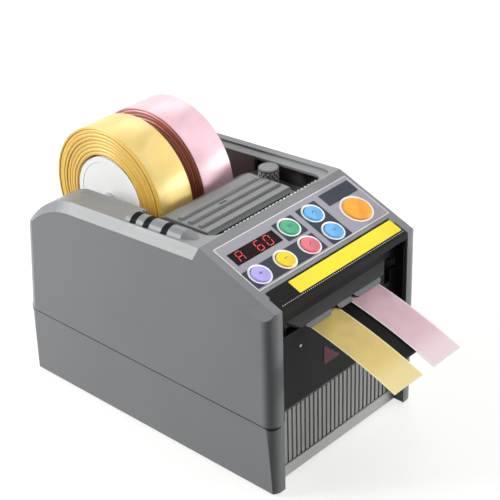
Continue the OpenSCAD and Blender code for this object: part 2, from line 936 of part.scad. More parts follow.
module front_panel() {
    count = floor((2 * cheek_x - rib_pitch) / rib_pitch);
    left = -(count - 1) * rib_pitch / 2;
    back = front_wall_y;
    mid = back - front_panel_t / 2;
    side = cheek_x - part_gap;
    low = 0.4;
    high = seam_z - 2 * part_gap;
    sill_out = 0.6;
    rib_end = 0.8;
    color("#8e9092") framed() {
        block([-side, back - front_panel_t, low], [side, back, high]);
        block([-side, face_y - sill_out, low], [side, mid, sill_h]);
        for (i = [0:count - 1])
            block([left + i * rib_pitch - rib_w / 2, face_y, sill_h + sill_groove],
                  [left + i * rib_pitch + rib_w / 2, mid, high - rib_end]);
    }
}

module rubber_feet() {
    color(black) framed()
        for (x = [-1, 1], y = [-1, 1])
            translate([x * foot_x, y * foot_y, -foot_h])
                cylinder(h = foot_h, r = foot_r);
}

module case_screws() {
    color(steel) framed()
        screw_places() {
            translate([0, 0, screw_sink - screw_head_h])
                cylinder(h = screw_head_h, r = screw_head_r);
            translate([0, 0, screw_sink - eps])
                cylinder(h = boss_h + screw_grip - screw_sink + eps, r = screw_r);
        }
}

// Side frame outline: its top front corner runs below the control board
module frame_outline() {
    slope_back = cover_front - 5.8;
    under_board = (board_depth + 2 * board_t) / cos(panel_tilt) + 1.6;
    difference() {
        polygon([
            [frame_front, floor_t], [frame_back, floor_t],
            [frame_back, frame_top], [slope_back, frame_top],
            [slope_back, panel_z(slope_back) - under_board],
            [frame_front, panel_z(frame_front) - under_board]
        ]);
        translate(feed_c)
            circle(bush_r);
    }
}

module left_frame() {
    color(steel) framed() difference() {
        along_x(-frame_out, frame_t)
            frame_outline();
        rod_x(-frame_out - eps, frame_t + 2 * eps, motor_y, motor_z, motor_shaft_r + 2);
    }
}

module right_frame() {
    color(steel) framed()
        along_x(frame_in, frame_t)
            frame_outline();
}

module frame_spacers() {
    low = 20;
    high = 56;
    in = 8;
    color(steel) framed()
        for (p = [[frame_front + in, low], [frame_back - in, low], [frame_back - in, high]])
            rod_x(-frame_in, frame_gap, p.x, p.y, spacer_r);
}

module feed_bushes() {
    color("#b08d57") framed()
        for (x = [-frame_out - bush_lip, frame_in - bush_lip])
            difference() {
                rod_x(x, frame_t + 2 * bush_lip, feed_y, feed_z, bush_r - press_fit);
                rod_x(x - eps, frame_t + 2 * (bush_lip + eps), feed_y, feed_z, feed_shaft_r + run_fit);
            }
}

module feed_shaft() {
    over = 1;
    left = gear_x - gear_w - over;
    color(steel) framed()
        rod_x(left, frame_out + bush_lip + over - left, feed_y, feed_z, feed_shaft_r);
}

module feed_roller() {
    over = 4;
    left = yellow_x - over;
    len = pink_x + tape_w + over - left;
    color("#3a3b3d") framed() difference() {
        rod_x(left, len, feed_y, feed_z, feed_r);
        rod_x(left - eps, len + 2 * eps, feed_y, feed_z, feed_shaft_r + press_fit);
    }
}

module feed_gear() {
    color(white) framed() difference() {
        translate([0, feed_y, feed_z])
            along_x(gear_x - gear_w, gear_w)
                polygon(gear_outline(feed_teeth, mesh_angle));
        rod_x(gear_x - gear_w - eps, gear_w + 2 * eps, feed_y, feed_z, feed_shaft_r + press_fit);
    }
}

module motor_pinion() {
    shaft_from = gear_x - gear_w - 1;
    shaft_to = -frame_in + motor_bore - 1;
    color("#b08d57") framed() {
        translate([0, motor_y, motor_z])
            along_x(gear_x - gear_w, gear_w)
                polygon(gear_outline(pinion_teeth, mesh_angle + 180 + 180 / pinion_teeth));
        rod_x(shaft_from, shaft_to - shaft_from, motor_y, motor_z, motor_shaft_r);
    }
}

module feed_motor() {
    color(steel) framed() difference() {
        union() {
            rod_x(-frame_in, motor_len, motor_y, motor_z, motor_r);
            rod_x(-frame_in + motor_len - eps, motor_cap + eps, motor_y, motor_z, motor_r / 2);
        }
        rod_x(-frame_in - eps, motor_bore + eps, motor_y, motor_z, motor_shaft_r + run_fit);
    }
}

module feed_deck() {
    right = open_right - part_gap;
    left = open_ridge + part_gap;
    low = deck_z - deck_t;
    ear_r = hinge_r + 2.2;
    front_bar = 2.6;
    side_bar = 1.2;
    bay_gap = 3;
    color(dark_grey) framed() difference() {
        union() {
            block([left, cover_front - front_bar, low], [right, step_y - bay_gap, deck_z]);
            for (x = [cover_left - cover_gap - hinge_ear_t, cover_right + cover_gap])
                along_x(x, hinge_ear_t) {
                    translate([hinge_y, hinge_z])
                        circle(ear_r);
                    translate([hinge_y - ear_r, low])
                        square([2 * ear_r, hinge_z - low]);
                }
        }
        block([cover_left - cover_gap, cover_front - cover_gap, low - eps],
              [cover_right + cover_gap, step_y, clear_top]);
        block([cover_right + cover_gap + side_bar, hinge_y + ear_r + 1, low - eps],
              [right - side_bar, knob_y - knob_r - 4, clear_top]);
        rod_x(cover_left - 2 * hinge_ear_t, cover_w + 4 * hinge_ear_t, hinge_y, hinge_z, hinge_r + press_fit);
        translate([knob_x, knob_y, low - eps])
            cylinder(h = deck_t + 2 * eps, r = knob_stem_r + run_fit);
    }
}

// Outer line of the feed cover from its hinge side to its free edge
function cover_line(t) = [
    [cover_front, deck_z + 2.1 - t], [cover_front + 10, deck_z + 7 - t],
    [cover_front + 11.2, deck_z + 8.2 - t], [cover_back - 7, deck_z + 6.8 - t],
    [cover_back - 1.5, deck_z + 4 - t], [cover_back, deck_z + 1.5 - t]
];

module feed_cover() {
    ear_low = pinch_z - pinch_shaft_r - 2;
    ear_half = pinch_shaft_r + 3;
    outer = cover_line(0);
    inner = cover_line(cover_t * 1.15);
    rib_end = 2;
    rib_first = 18.1;
    rib_pitch = 7.8;
    rib_fall = 0.3;
    latch = [-8, -2];
    latch_l = 1.6;
    color("#707275") framed() difference() {
        union() {
            along_x(cover_left, cover_w)
                polygon(concat(outer, [for (i = [len(inner) - 1:-1:0]) inner[i]]));
            for (i = [0:2])
                rod_x(cover_left + rib_end, cover_w - 2 * rib_end, cover_front + rib_first + i * rib_pitch,
                      deck_z + 7.2 - i * rib_fall, cover_rib_r);
            for (x = [cover_left, cover_right - ear_t])
                along_x(x, ear_t)
                    polygon([
                        [feed_y - ear_half, ear_low], [feed_y + ear_half, ear_low],
                        [feed_y + ear_half + 2, deck_z + 6.5], [feed_y - ear_half, deck_z + 4]
                    ]);
            rod_x(cover_left, cover_w, hinge_y, hinge_z, barrel_r);
        }
        rod_x(cover_left - eps, cover_w + 2 * eps, hinge_y, hinge_z, hinge_r + run_fit);
        rod_x(cover_left - eps, cover_w + 2 * eps, feed_y, pinch_z, pinch_shaft_r + run_fit);
        block([latch[0], knob_y - knob_r, deck_z], [latch[1], knob_y - knob_r + latch_l, clear_top]);
        translate([knob_x, knob_y, ear_low])
            cylinder(h = clear_top - ear_low, r = knob_r + knob_room);
    }
}

module cover_hinge_pin() {
    color(steel) framed()
        rod_x(cover_left - hinge_ear_t, cover_w + 2 * hinge_ear_t, hinge_y, hinge_z, hinge_r);
}

module pinch_shaft() {
    inset = 0.2;
    color(steel) framed()
        rod_x(cover_left + inset, cover_w - 2 * inset, feed_y, pinch_z, pinch_shaft_r);
}

module pinch_roller() {
    left = cover_left + ear_t + cover_gap;
    len = cover_w - 2 * (ear_t + cover_gap);
    color("#d8d8d4") framed() difference() {
        rod_x(left, len, feed_y, pinch_z, pinch_r);
        rod_x(left - eps, len + 2 * eps, feed_y, pinch_z, pinch_shaft_r + press_fit);
    }
}

module pressure_knob() {
    low = deck_z + slide_fit;
    stem_low = deck_z - deck_t - knob_stem_h;
    edge = 1;
    crown = 0.2;
    color(dark_grey) framed()
        translate([knob_x, knob_y, 0])
            rotate_extrude()
                polygon([
                    [0, stem_low], [knob_stem_r, stem_low], [knob_stem_r, low],
                    [knob_r, low], [knob_r, low + knob_h - edge],
                    [knob_r - edge, low + knob_h - crown], [0, low + knob_h]
                ]);
}

module axle_brackets() {
    saddle_r = axle_r + run_fit;
    half = axle_r + 4;
    top = reel_z + bracket_top;
    color(dark_grey) framed()
        for (x = [axle_left, axle_right])
            along_x(x, bracket_t)
                difference() {
                    polygon([
                        [reel_y - bracket_foot, well_z], [reel_y + bracket_foot, well_z],
                        [reel_y + half, top], [reel_y - half, top]
                    ]);
                    translate(reel_c)
                        circle(saddle_r);
                    translate([reel_y - saddle_r, reel_z])
                        square([2 * saddle_r, bracket_top + eps]);
                }
}

module reel_axle() {
    left = axle_left - axle_over;
    color(steel) framed()
        rod_x(left, axle_right + bracket_t + axle_over - left, reel_y, reel_z, axle_r);
}

module reel_hub() {
    bore = axle_r + run_fit;
    boss = bore + hub_wall;
    rim = hub_r - 3;
    web_far = hub_left + hub_web_t;
    color(white) framed()
        spin_x(reel_y, reel_z)
            polygon([
                [bore, hub_left], [hub_r, hub_left], [hub_r, hub_right], [rim, hub_right],
                [rim, web_far], [boss, web_far], [boss, hub_right], [bore, hub_right]
            ]);
}

module core(x) {
    color(white) framed()
        spin_x(reel_y, reel_z)
            translate([core_r - core_t, x])
                square([core_t, tape_w]);
}

module yellow_core() {
    core(yellow_x);
}

module pink_core() {
    core(pink_x);
}

// Winding: one band that spirals out from the core to the point where the tape leaves
turn_steps = 36;
wind_end = arc_from - 180;
function wind_point(i, lift) =
    let (done = i / turn_steps)
    (winding_in + turn_step * done + lift) * along(wind_end + 360 * (turns - done));
wind_last = turns * turn_steps;
wind_inner = [for (i = [0:wind_last]) wind_point(i, 0)];
wind_outer = [for (i = [0:wind_last]) wind_point(i, band_t)];
turn_gaps = [for (i = [0:wind_last - turn_steps]) norm(wind_inner[i + turn_steps] - wind_outer[i])];
least_turn_gap = min(turn_gaps);
echo(least_turn_gap = least_turn_gap);

module winding(x) {
    framed()
        translate([0, reel_y, reel_z])
            along_x(x, tape_w)
                polygon(concat(wind_inner, [for (i = [wind_last:-1:0]) wind_outer[i]]));
}

module yellow_tape_roll() {
    color(yellow)
        winding(yellow_x);
}

module pink_tape_roll() {
    color(pink)
        winding(pink_x);
}

module web(x) {
    framed()
        along_x(x, tape_w)
            ribbon(web_path, tape_t, -1);
}

module yellow_tape_web() {
    color(yellow)
        web(yellow_x);
}

module pink_tape_web() {
    color(pink)
        web(pink_x);
}

module free_end(x) {
    framed()
        along_x(x, tape_w)
            ribbon(end_path, tape_t, -1);
}

module yellow_tape_end() {
    color(yellow)
        free_end(yellow_x);
}

module pink_tape_end() {
    color(pink)
        free_end(pink_x);
}

module cutter_frame() {
    leg_play = 0.6;
    tooth_reach = ded + add;
    side = cheek_x - shelf_inset;
    low = shelf_z - shelf_t;
    wall_edge = 1.5;
    color(steel) framed() difference() {
        union() {
            block([-side, plate_back, low], [side, frame_front, shelf_z]);
            block([pinion_x - cutter_motor_r - wall_edge, motor_wall_y, shelf_z - eps],
                  [leg_out - wall_edge, motor_wall_y + motor_wall_t, rack_z + cutter_motor_r + wall_edge]);
        }
        both_sides() {
            block([leg_in - tooth_reach - leg_play, leg_front - leg_play, low - eps],
                  [leg_out + leg_play, leg_back + leg_play, shelf_z + eps]);
            translate([post_x, post_y, low - eps])
                cylinder(h = shelf_t + 2 * eps, r = post_r + press_fit);
        }
        rod_y(motor_wall_y - eps, motor_wall_t + 2 * eps, pinion_x, rack_z, 2 * motor_shaft_r);
    }
}

// Lower front plate, with a side return along each cheek
module cutter_base() {
    spacer = [leg_in - 17, outlet_low - 8];
    spacer_r = 4;
    side = cheek_x - part_gap;
    low = seam_z - part_gap;
    return_t = 1.5;
    return_y = cheek_y + 1.2;
    color(black) framed() difference() {
        union() {
            block([-side, face_y, low], [side, plate_back, outlet_low]);
            both_sides() {
                rod_y(face_y + eps, fixed_front - face_y - eps, spacer.x, spacer.y, spacer_r);
                block([side - return_t, return_y, low], [side, face_y + eps, outlet_low - eps]);
                block([side - return_t, return_y, outlet_low - 2 * eps],
                      [side, face_y - part_gap, front_h - brow_root - part_gap]);
            }
        }
        block([slot_left, face_y - eps, slot_low], [slot_right, plate_back + eps, outlet_low + eps]);
        along_y(face_y - eps, lens_sink + eps)
            lens_outline();
    }
}

// Triangular lens in the cutter's front plate
lens_sink = 0.8;
lens_out = 0.2;
module lens_outline() {
    low = outlet_low - 34.4;
    left = -11.3;
    long = 13.9;
    tall = 12.8;
    polygon([[left, low], [left + long, low], [left, low + tall]]);
}

module sensor_lens() {
    color("#5a2a30") framed()
        along_y(face_y - lens_out, lens_out + lens_sink)
            lens_outline();
}

// Visor that slopes out over the slot and is narrower at its edge
module visor() {
    inner_y = face_y + plate_t / 2;
    inner_low = outlet_top + 1.4;
    root_half = slot_left - part_gap;
    splay = 1.34;
    edge_half = root_half - splay * (visor_out + eps);
    intersection() {
        along_x(-root_half - eps, 2 * (root_half + eps))
            polygon([
                [inner_y, visor_top + (inner_y - visor_y) * tan(visor_tilt)], [visor_y, visor_top],
                [visor_y, visor_low], [inner_y, inner_low]
            ]);
        translate([0, 0, visor_low - eps])
            linear_extrude(slot_high)
                polygon([
                    [-root_half, plate_back], [-root_half, face_y], [-edge_half, visor_y - eps],
                    [edge_half, visor_y - eps], [root_half, face_y], [root_half, plate_back]
                ]);
    }
}

module cutter_cover() {
    flush = 0.2;
    top_t = plate_t + 0.4;
    nose = cheek_y + part_gap;
    high = panel_edge + hood_len * panel_dir;
    color(black) framed() difference() {
        union() {
            along_x(-cheek_x + part_gap, 2 * (cheek_x - part_gap))
                polygon([
                    [nose, panel_z(nose) - flush / cos(panel_tilt)], high + flush * panel_in,
                    high + top_t * panel_in,
                    [plate_back, panel_z(plate_back) - top_t / cos(panel_tilt)], [plate_back, outlet_top],
                    [face_y, outlet_top], [face_y, front_h - brow_root], [nose, front_h - brow]
                ]);
            visor();
        }
        block([slot_left, face_y - eps, outlet_top - eps], [slot_right, plate_back + eps, slot_high]);
        on_panel()
            both_sides()
                block([cheek_x - notch_w - part_gap, hood_len - notch_l, -recess],
                      [cheek_x + eps, hood_len + recess, recess]);
    }
}

// Spring lips on the visor's edge, narrower at the tip, that hold the tapes down
module outlet_lips() {
    root = [visor_y, visor_top];
    tip = root - [lip_out, lip_drop];
    inner_tip = tip + lip_t * turn_left((tip - root) / norm(tip - root));
    taper = 0.2;
    left_over = 3.1;
    left_short = 6.5;
    mid_half = 6;
    right_short = 3.8;
    right_over = 2.2;
    spans = [
        [yellow_x - left_over, yellow_x + tape_w - left_short],
        [tape_shift - mid_half, tape_shift + mid_half],
        [pink_x + right_short, pink_x + tape_w + right_over]
    ];
    color(steel) framed()
        for (x = spans) {
            wide = x[1] - x[0];
            side = taper * wide;
            intersection() {
                along_x(x[0], wide)
                    polygon([root, tip, inner_tip, [visor_y, visor_low]]);
                along_y(tip.x - eps, lip_out + 2 * eps)
                    polygon([
                        [x[0] - eps, root.y + eps], [x[0] - eps, visor_low], [x[0], visor_low],
                        [x[0] + side, inner_tip.y - eps], [x[1] - side, inner_tip.y - eps],
                        [x[1], visor_low], [x[1] + eps, visor_low], [x[1] + eps, root.y + eps]
                    ]);
            }
        }
}

module outfeed_tongue() {
    root = cut_end.x - face_y;
    reach = recess + tongue_out;
    steps = 4;
    under = soft_gap + 0.1;
    top = [for (i = [0:steps]) end_point(root + reach * i / steps) - [0, under]];
    color(black) framed()
        along_x(tape_shift - tongue_w / 2, tongue_w)
            polygon(concat(top, [for (i = [steps:-1:0]) top[i] - [0, tongue_t]]));
}

module fixed_blade() {
    color(steel) framed()
        block([-leg_in + eps, fixed_front, outlet_low - fixed_deep],
              [leg_in - ded - add - eps, fixed_back, fixed_top]);
}

module moving_blade() {
    half = leg_in - blade_end;
    color(steel) framed()
        block([-half, moving_front, blade_low], [half, moving_back, bar_low + bar_h]);
}

module blade_carrier() {
    pitch = PI * gear_m;
    flank = tan(pressure_angle);
    half = pitch / 4 - gear_play / 2;
    root = ded + 0.5;
    foot_half = half + flank * root;
    tip_half = half - flank * add;
    color("#9a9da1") framed() difference() {
        union() {
            block([-bar_x, moving_back, bar_low], [bar_x, leg_back, bar_low + bar_h]);
            both_sides()
                block([leg_in, leg_front, leg_low], [leg_out, leg_back, bar_low + eps]);
            along_y(leg_front, leg_t)
                for (k = [rack_low:rack_high])
                    translate([rack_pitch_x, rack_z + k * pitch])
                        polygon([[root, -foot_half], [root, foot_half], [-add, tip_half], [-add, -tip_half]]);
        }
        both_sides()
            translate([post_x, post_y, bar_low - eps])
                cylinder(h = bar_h + 2 * eps, r = post_r + run_fit);
    }
}

module guide_posts() {
    post_over = 3;
    color(steel) framed()
        both_sides()
            translate([post_x, post_y, shelf_z - shelf_t])
                cylinder(h = bar_low + bar_h + post_over - shelf_z + shelf_t, r = post_r);
}

module cutter_motor() {
    from = motor_wall_y + motor_wall_t;
    color(steel) framed() difference() {
        union() {
            rod_y(from, cutter_motor_len, pinion_x, rack_z, cutter_motor_r);
            rod_y(from + cutter_motor_len - eps, motor_cap + eps, pinion_x, rack_z, cutter_motor_r / 2);
        }
        rod_y(from - eps, motor_bore + eps, pinion_x, rack_z, motor_shaft_r + run_fit);
    }
}

module cutter_pinion() {
    inset = 0.2;
    from = leg_front + inset;
    to = motor_wall_y + motor_wall_t + motor_bore - 1;
    color("#b08d57") framed() {
        translate([pinion_x, 0, rack_z])
            along_y(from, leg_t - 2 * inset)
                polygon(gear_outline(rack_teeth, 180 / rack_teeth));
        rod_y(from, to - from, pinion_x, rack_z, motor_shaft_r);
    }
}

module panel_overlay() {
    color("#9a98a0") framed()
        on_panel()
            difference() {
                block([overlay_left + inlay_gap, overlay_low + inlay_gap, -overlay_t],
                      [overlay_right - inlay_gap, overlay_high - inlay_gap, 0]);
                button_holes(overlay_t + eps, slide_fit);
                block([display_x, display_v, -eps], [display_x + display_w, display_v + display_h, eps]);
            }
}

module display_window() {
    color("#301014") framed()
        on_panel()
            block([display_x + inlay_gap, display_v + inlay_gap, -overlay_t],
                  [display_x + display_w - inlay_gap, display_v + display_h - inlay_gap, 0]);
}

module display_module() {
    edge = ledge + 0.4;
    under_window = 0.6;
    color(black) framed()
        on_panel()
            block([display_x + edge, display_v + edge, -board_depth],
                  [display_x + display_w - edge, display_v + display_h - edge, -overlay_t - under_window]);
}

module control_board() {
    board_half = cheek_x - 0.2;
    color("#2e5a3c") framed()
        on_panel()
            block([-board_half, board_low, -board_depth - board_t], [board_half, board_high, -board_depth]);
}

module tact_switch(p) {
    translate([p.x, p.y, -board_depth]) {
        translate([-tact_w / 2, -tact_w / 2, 0])
            cube([tact_w, tact_w, tact_h]);
        cylinder(h = flange_low - button_travel - tact_play + board_depth, r = tact_stem_r);
    }
}

module tact_switches() {
    color("#303236") framed()
        on_panel() {
            for (p = small_buttons)
                tact_switch(p);
            tact_switch(start_at);
        }
}

module button(p, r) {
    dome = 0.5;
    flange_r = r + button_flange;
    framed()
        on_panel()
            translate(p)
                rotate_extrude()
                    polygon([
                        [0, flange_low], [flange_r, flange_low], [flange_r, flange_top], [r, flange_top],
                        [r, button_h - dome], [r - dome, button_h - dome / 5], [0, button_h]
                    ]);
}

module purple_button() {
    color("#b5a8f0")
        button(small_buttons[0], button_r);
}

module yellow_button() {
    color("#f0d020")
        button(small_buttons[1], button_r);
}

module pink_button() {
    color("#e07080")
        button(small_buttons[2], button_r);
}

module green_button() {
    color("#4fae84")
        button(small_buttons[3], button_r);
}

module up_button() {
    color("#6ab4f0")
        button(small_buttons[4], button_r);
}

module down_button() {
    color("#6ab4f0")
        button(small_buttons[5], button_r);
}

module start_button() {
    color("#f5a020")
        button(start_at, start_r);
}

module power_inlet() {
    flange = 2;
    depth = 20;
    cavity_deep = 16;
    pin_x = 7;
    pin_half = 1;
    pin_tall = 4;
    pin_sink = 3;
    pin_rise = [-1.5, 2.5, -1.5];
    color(black) framed() {
        difference() {
            union() {
                entry_block(inlet_x, inlet_w - 2 * entry_fit, inlet_h - 2 * entry_fit,
                            back_y - depth, back_y + eps);
                entry_block(inlet_x, inlet_w + 2 * flange, inlet_h + 2 * flange,
                            back_y, back_y + inlet_flange_out);
            }
            entry_block(inlet_x, inlet_w - 3, inlet_h - 3.5,
                        back_y - cavity_deep, back_y + 2 * inlet_flange_out);
        }
        for (i = [0:2])
            translate([inlet_x + (i - 1) * pin_x, 0, entry_z + pin_rise[i]])
                block([-pin_half, back_y - cavity_deep - eps, -pin_tall / 2],
                      [pin_half, back_y - pin_sink, pin_tall / 2]);
    }
}

module power_switch() {
    flange = 1.5;
    flange_out = 1.2;
    depth = 14;
    cavity_deep = 11;
    axle_wall = 1;
    color(black) framed() difference() {
        union() {
            entry_block(switch_x, switch_w - 2 * entry_fit, switch_tall - 2 * entry_fit,
                        back_y - depth, back_y + eps);
            entry_block(switch_x, switch_w + 2 * flange, switch_tall + 2 * flange,
                        back_y, back_y + flange_out);
        }
        entry_block(switch_x, switch_w - 2 * switch_frame, switch_tall - 2 * switch_frame,
                    back_y - cavity_deep, back_y + 2 * flange_out);
        rod_x(switch_x - switch_w / 2 + axle_wall, switch_w - 2 * axle_wall,
              rocker_y, entry_z, rocker_axle_r + run_fit);
    }
}

module power_rocker() {
    play = 0.3;
    swing_room = 0.9;
    axle_end = 1.2;
    half = switch_tall / 2 - switch_frame - swing_room;
    rocker_w = switch_w - 2 * (switch_frame + play);
    face = back_y + 0.4;
    root = back_y - 8;
    root_half = 2.5;
    shoulder_y = back_y - 2.6;
    color("#2a2c2e") framed() {
        along_x(switch_x - rocker_w / 2, rocker_w)
            translate([0, entry_z])
                polygon([
                    [root, -root_half], [shoulder_y, -half], [face, -half], [back_y - 0.4, 0],
                    [face, half], [shoulder_y, half], [root, root_half]
                ]);
        rod_x(switch_x - switch_w / 2 + axle_end, switch_w - 2 * axle_end, rocker_y, entry_z, rocker_axle_r);
    }
}

module power_board() {
    edge = 4;
    trafo = [30, 28, 24];
    trafo_left = -8;
    trafo_front = -24;
    can_r = 4;
    can_h = 16;
    can_places = [-28, -18];
    can_front = -16;
    top = power_z + board_t / 2;
    color("#2e5a3c") framed() {
        block([-power_board_w / 2, power_y - power_post_y - edge, power_z],
              [power_board_w / 2, power_y + power_post_y + edge, power_z + board_t]);
        translate([trafo_left, power_y + trafo_front, top])
            cube(trafo);
        for (x = can_places)
            translate([x, power_y + can_front, top])
                cylinder(h = can_h, r = can_r);
    }
}

lower_case();
upper_case();
front_panel();
rubber_feet();
case_screws();
left_frame();
right_frame();
frame_spacers();
feed_bushes();
feed_shaft();
feed_roller();
feed_gear();
motor_pinion();
feed_motor();
feed_deck();
feed_cover();
cover_hinge_pin();
pinch_shaft();
pinch_roller();
pressure_knob();
axle_brackets();
reel_axle();
reel_hub();
yellow_core();
pink_core();
yellow_tape_roll();
pink_tape_roll();
yellow_tape_web();
pink_tape_web();
yellow_tape_end();
pink_tape_end();
cutter_frame();
cutter_base();
cutter_cover();
outlet_lips();
outfeed_tongue();
sensor_lens();
fixed_blade();
moving_blade();
blade_carrier();
guide_posts();
cutter_motor();
cutter_pinion();
panel_overlay();
display_window();
display_module();
control_board();
tact_switches();
purple_button();
yellow_button();
pink_button();
green_button();
up_button();
down_button();
start_button();
power_inlet();
power_switch();
power_rocker();
power_board();
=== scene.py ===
import json
import math
import random

import bmesh
import bpy
from mathutils import Matrix, Vector
from mathutils.bvhtree import BVHTree


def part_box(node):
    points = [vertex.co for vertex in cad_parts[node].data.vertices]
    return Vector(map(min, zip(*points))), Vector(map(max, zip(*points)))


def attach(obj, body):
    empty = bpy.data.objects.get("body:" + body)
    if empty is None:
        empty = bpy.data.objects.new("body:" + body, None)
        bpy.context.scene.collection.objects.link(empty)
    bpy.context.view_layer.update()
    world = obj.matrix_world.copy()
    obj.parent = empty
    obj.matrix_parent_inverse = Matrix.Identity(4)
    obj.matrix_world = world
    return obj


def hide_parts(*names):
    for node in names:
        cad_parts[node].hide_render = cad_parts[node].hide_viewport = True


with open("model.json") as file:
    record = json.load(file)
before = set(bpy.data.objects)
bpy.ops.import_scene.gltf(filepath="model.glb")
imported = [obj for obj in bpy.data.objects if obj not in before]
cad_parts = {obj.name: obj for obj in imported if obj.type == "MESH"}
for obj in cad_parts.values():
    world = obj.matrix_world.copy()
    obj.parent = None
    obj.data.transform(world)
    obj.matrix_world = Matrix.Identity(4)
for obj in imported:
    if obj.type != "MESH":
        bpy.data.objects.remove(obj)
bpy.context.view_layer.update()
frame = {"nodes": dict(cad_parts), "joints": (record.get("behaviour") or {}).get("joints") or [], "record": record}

MM = 0.001
nodes = frame["nodes"]
joints = {j["name"]: j for j in frame["joints"]}
slot_of = {s["node"]: s["material_slot"] for s in frame["record"]["subparts"]}
body_of = {n: b for b, members in frame["record"]["behaviour"]["bodies"].items() for n in members}


# Materials

def linear(code):
    """Linear colour of an sRGB hex code."""
    parts = [int(code[i:i + 2], 16) / 255 for i in (1, 3, 5)]
    return tuple(c / 12.92 if c <= 0.04045 else ((c + 0.055) / 1.055) ** 2.4 for c in parts) + (1.0,)


def shaded(color, factor):
    return tuple(min(1.0, c * factor) for c in color[:3]) + (1.0,)


class Shader:
    """A material with its Principled shader, and short ways to add nodes to it."""

    def __init__(self, name, **inputs):
        self.material = bpy.data.materials.new(name)
        self.material.use_nodes = True
        self.tree = self.material.node_tree
        self.bsdf = self.tree.nodes["Principled BSDF"]
        self.set(self.bsdf, **inputs)

    def set(self, node, **inputs):
        for key, value in inputs.items():
            node.inputs[key.replace("_", " ")].default_value = value
        return node

    def node(self, kind, **inputs):
        return self.set(self.tree.nodes.new("ShaderNode" + kind), **inputs)

    def link(self, source, target):
        self.tree.links.new(source, target)

    def place(self, kind="Object", scale=(1, 1, 1)):
        mapping = self.node("Mapping", Scale=scale)
        self.link(self.node("TexCoord").outputs[kind], mapping.inputs["Vector"])
        return mapping.outputs["Vector"]

    def noise(self, place, size, detail=3.0):
        noise = self.node("TexNoise", Scale=1 / size, Detail=detail)
        self.link(place, noise.inputs["Vector"])
        return noise.outputs["Fac"]

    def attribute(self, name):
        node = self.node("Attribute")
        node.attribute_name = name
        return node.outputs["Fac"]

    def span(self, value, low, high, start=0.3, end=0.7):
        """The value's range from start to end, brought to low to high."""
        span = self.node("MapRange")
        for name, number in zip(("From Min", "From Max", "To Min", "To Max"), (start, end, low, high)):
            span.inputs[name].default_value = number
        self.link(value, span.inputs["Value"])
        return span.outputs["Result"]

    def mix(self, factor, first, second):
        """Mix of two colours, each a value or a socket."""
        mix = self.node("Mix")
        mix.data_type = "RGBA"
        self.link(factor, mix.inputs["Factor"])
        for name, color in (("A", first), ("B", second)):
            socket = next(s for s in mix.inputs if s.name == name and s.type == "RGBA")
            if isinstance(color, tuple):
                socket.default_value = color
            else:
                self.link(color, socket)
        return next(s for s in mix.outputs if s.type == "RGBA")

    def times(self, first, second):
        product = self.node("Math")
        product.operation = "MULTIPLY"
        self.link(first, product.inputs[0])
        self.link(second, product.inputs[1])
        return product.outputs[0]

    def color(self, source):
        self.link(source, self.bsdf.inputs["Base Color"])

    def roughness(self, source):
        self.link(source, self.bsdf.inputs["Roughness"])

    def rounded(self, radius):
        """Light that runs round the sharp edges, as on a moulding."""
        bevel = self.node("Bevel", Radius=radius * MM)
        bevel.samples = 6
        self.link(bevel.outputs["Normal"], self.bsdf.inputs["Normal"])

    def bump(self, height, depth, strength=1.0):
        bump = self.node("Bump", Distance=depth, Strength=strength)
        self.link(height, bump.inputs["Height"])
        old = self.bsdf.inputs["Normal"]
        if old.is_linked:
            self.link(old.links[0].from_socket, bump.inputs["Normal"])
        self.link(bump.outputs["Normal"], old)


def plastic(name, code, roughness, grain=0.35, depth=0.012, change=0.05, edge=0.0, **inputs):
    """Moulded plastic: a fine grain, a slow change of tone and faint wear in the gloss."""
    s = Shader(name, **inputs)
    if edge:
        s.rounded(edge)
    base = linear(code)
    place = s.place()
    fine = s.noise(place, grain * MM)
    slow = s.noise(place, 38 * MM, 2.0)
    s.color(s.mix(s.span(slow, 0, 1), shaded(base, 1 - change), shaded(base, 1 + change)))
    s.roughness(s.span(s.noise(place, 30 * MM, 2.0), roughness - 0.02, roughness + 0.03))
    s.bump(fine, depth * MM)
    return s.material


def metal(name, code, roughness, brush=(1, 40, 40)):
    """Brushed metal, with scratches along the axis of the smallest brush scale."""
    s = Shader(name, Metallic=1.0)
    s.rounded(0.15)
    base = linear(code)
    scratches = s.noise(s.place(scale=brush), 8 * MM, 4.0)
    s.color(s.mix(s.span(scratches, 0, 1), shaded(base, 0.9), shaded(base, 1.08)))
    s.roughness(s.span(scratches, roughness - 0.08, roughness + 0.1))
    s.bump(scratches, 0.01 * MM, 0.6)
    return s.material


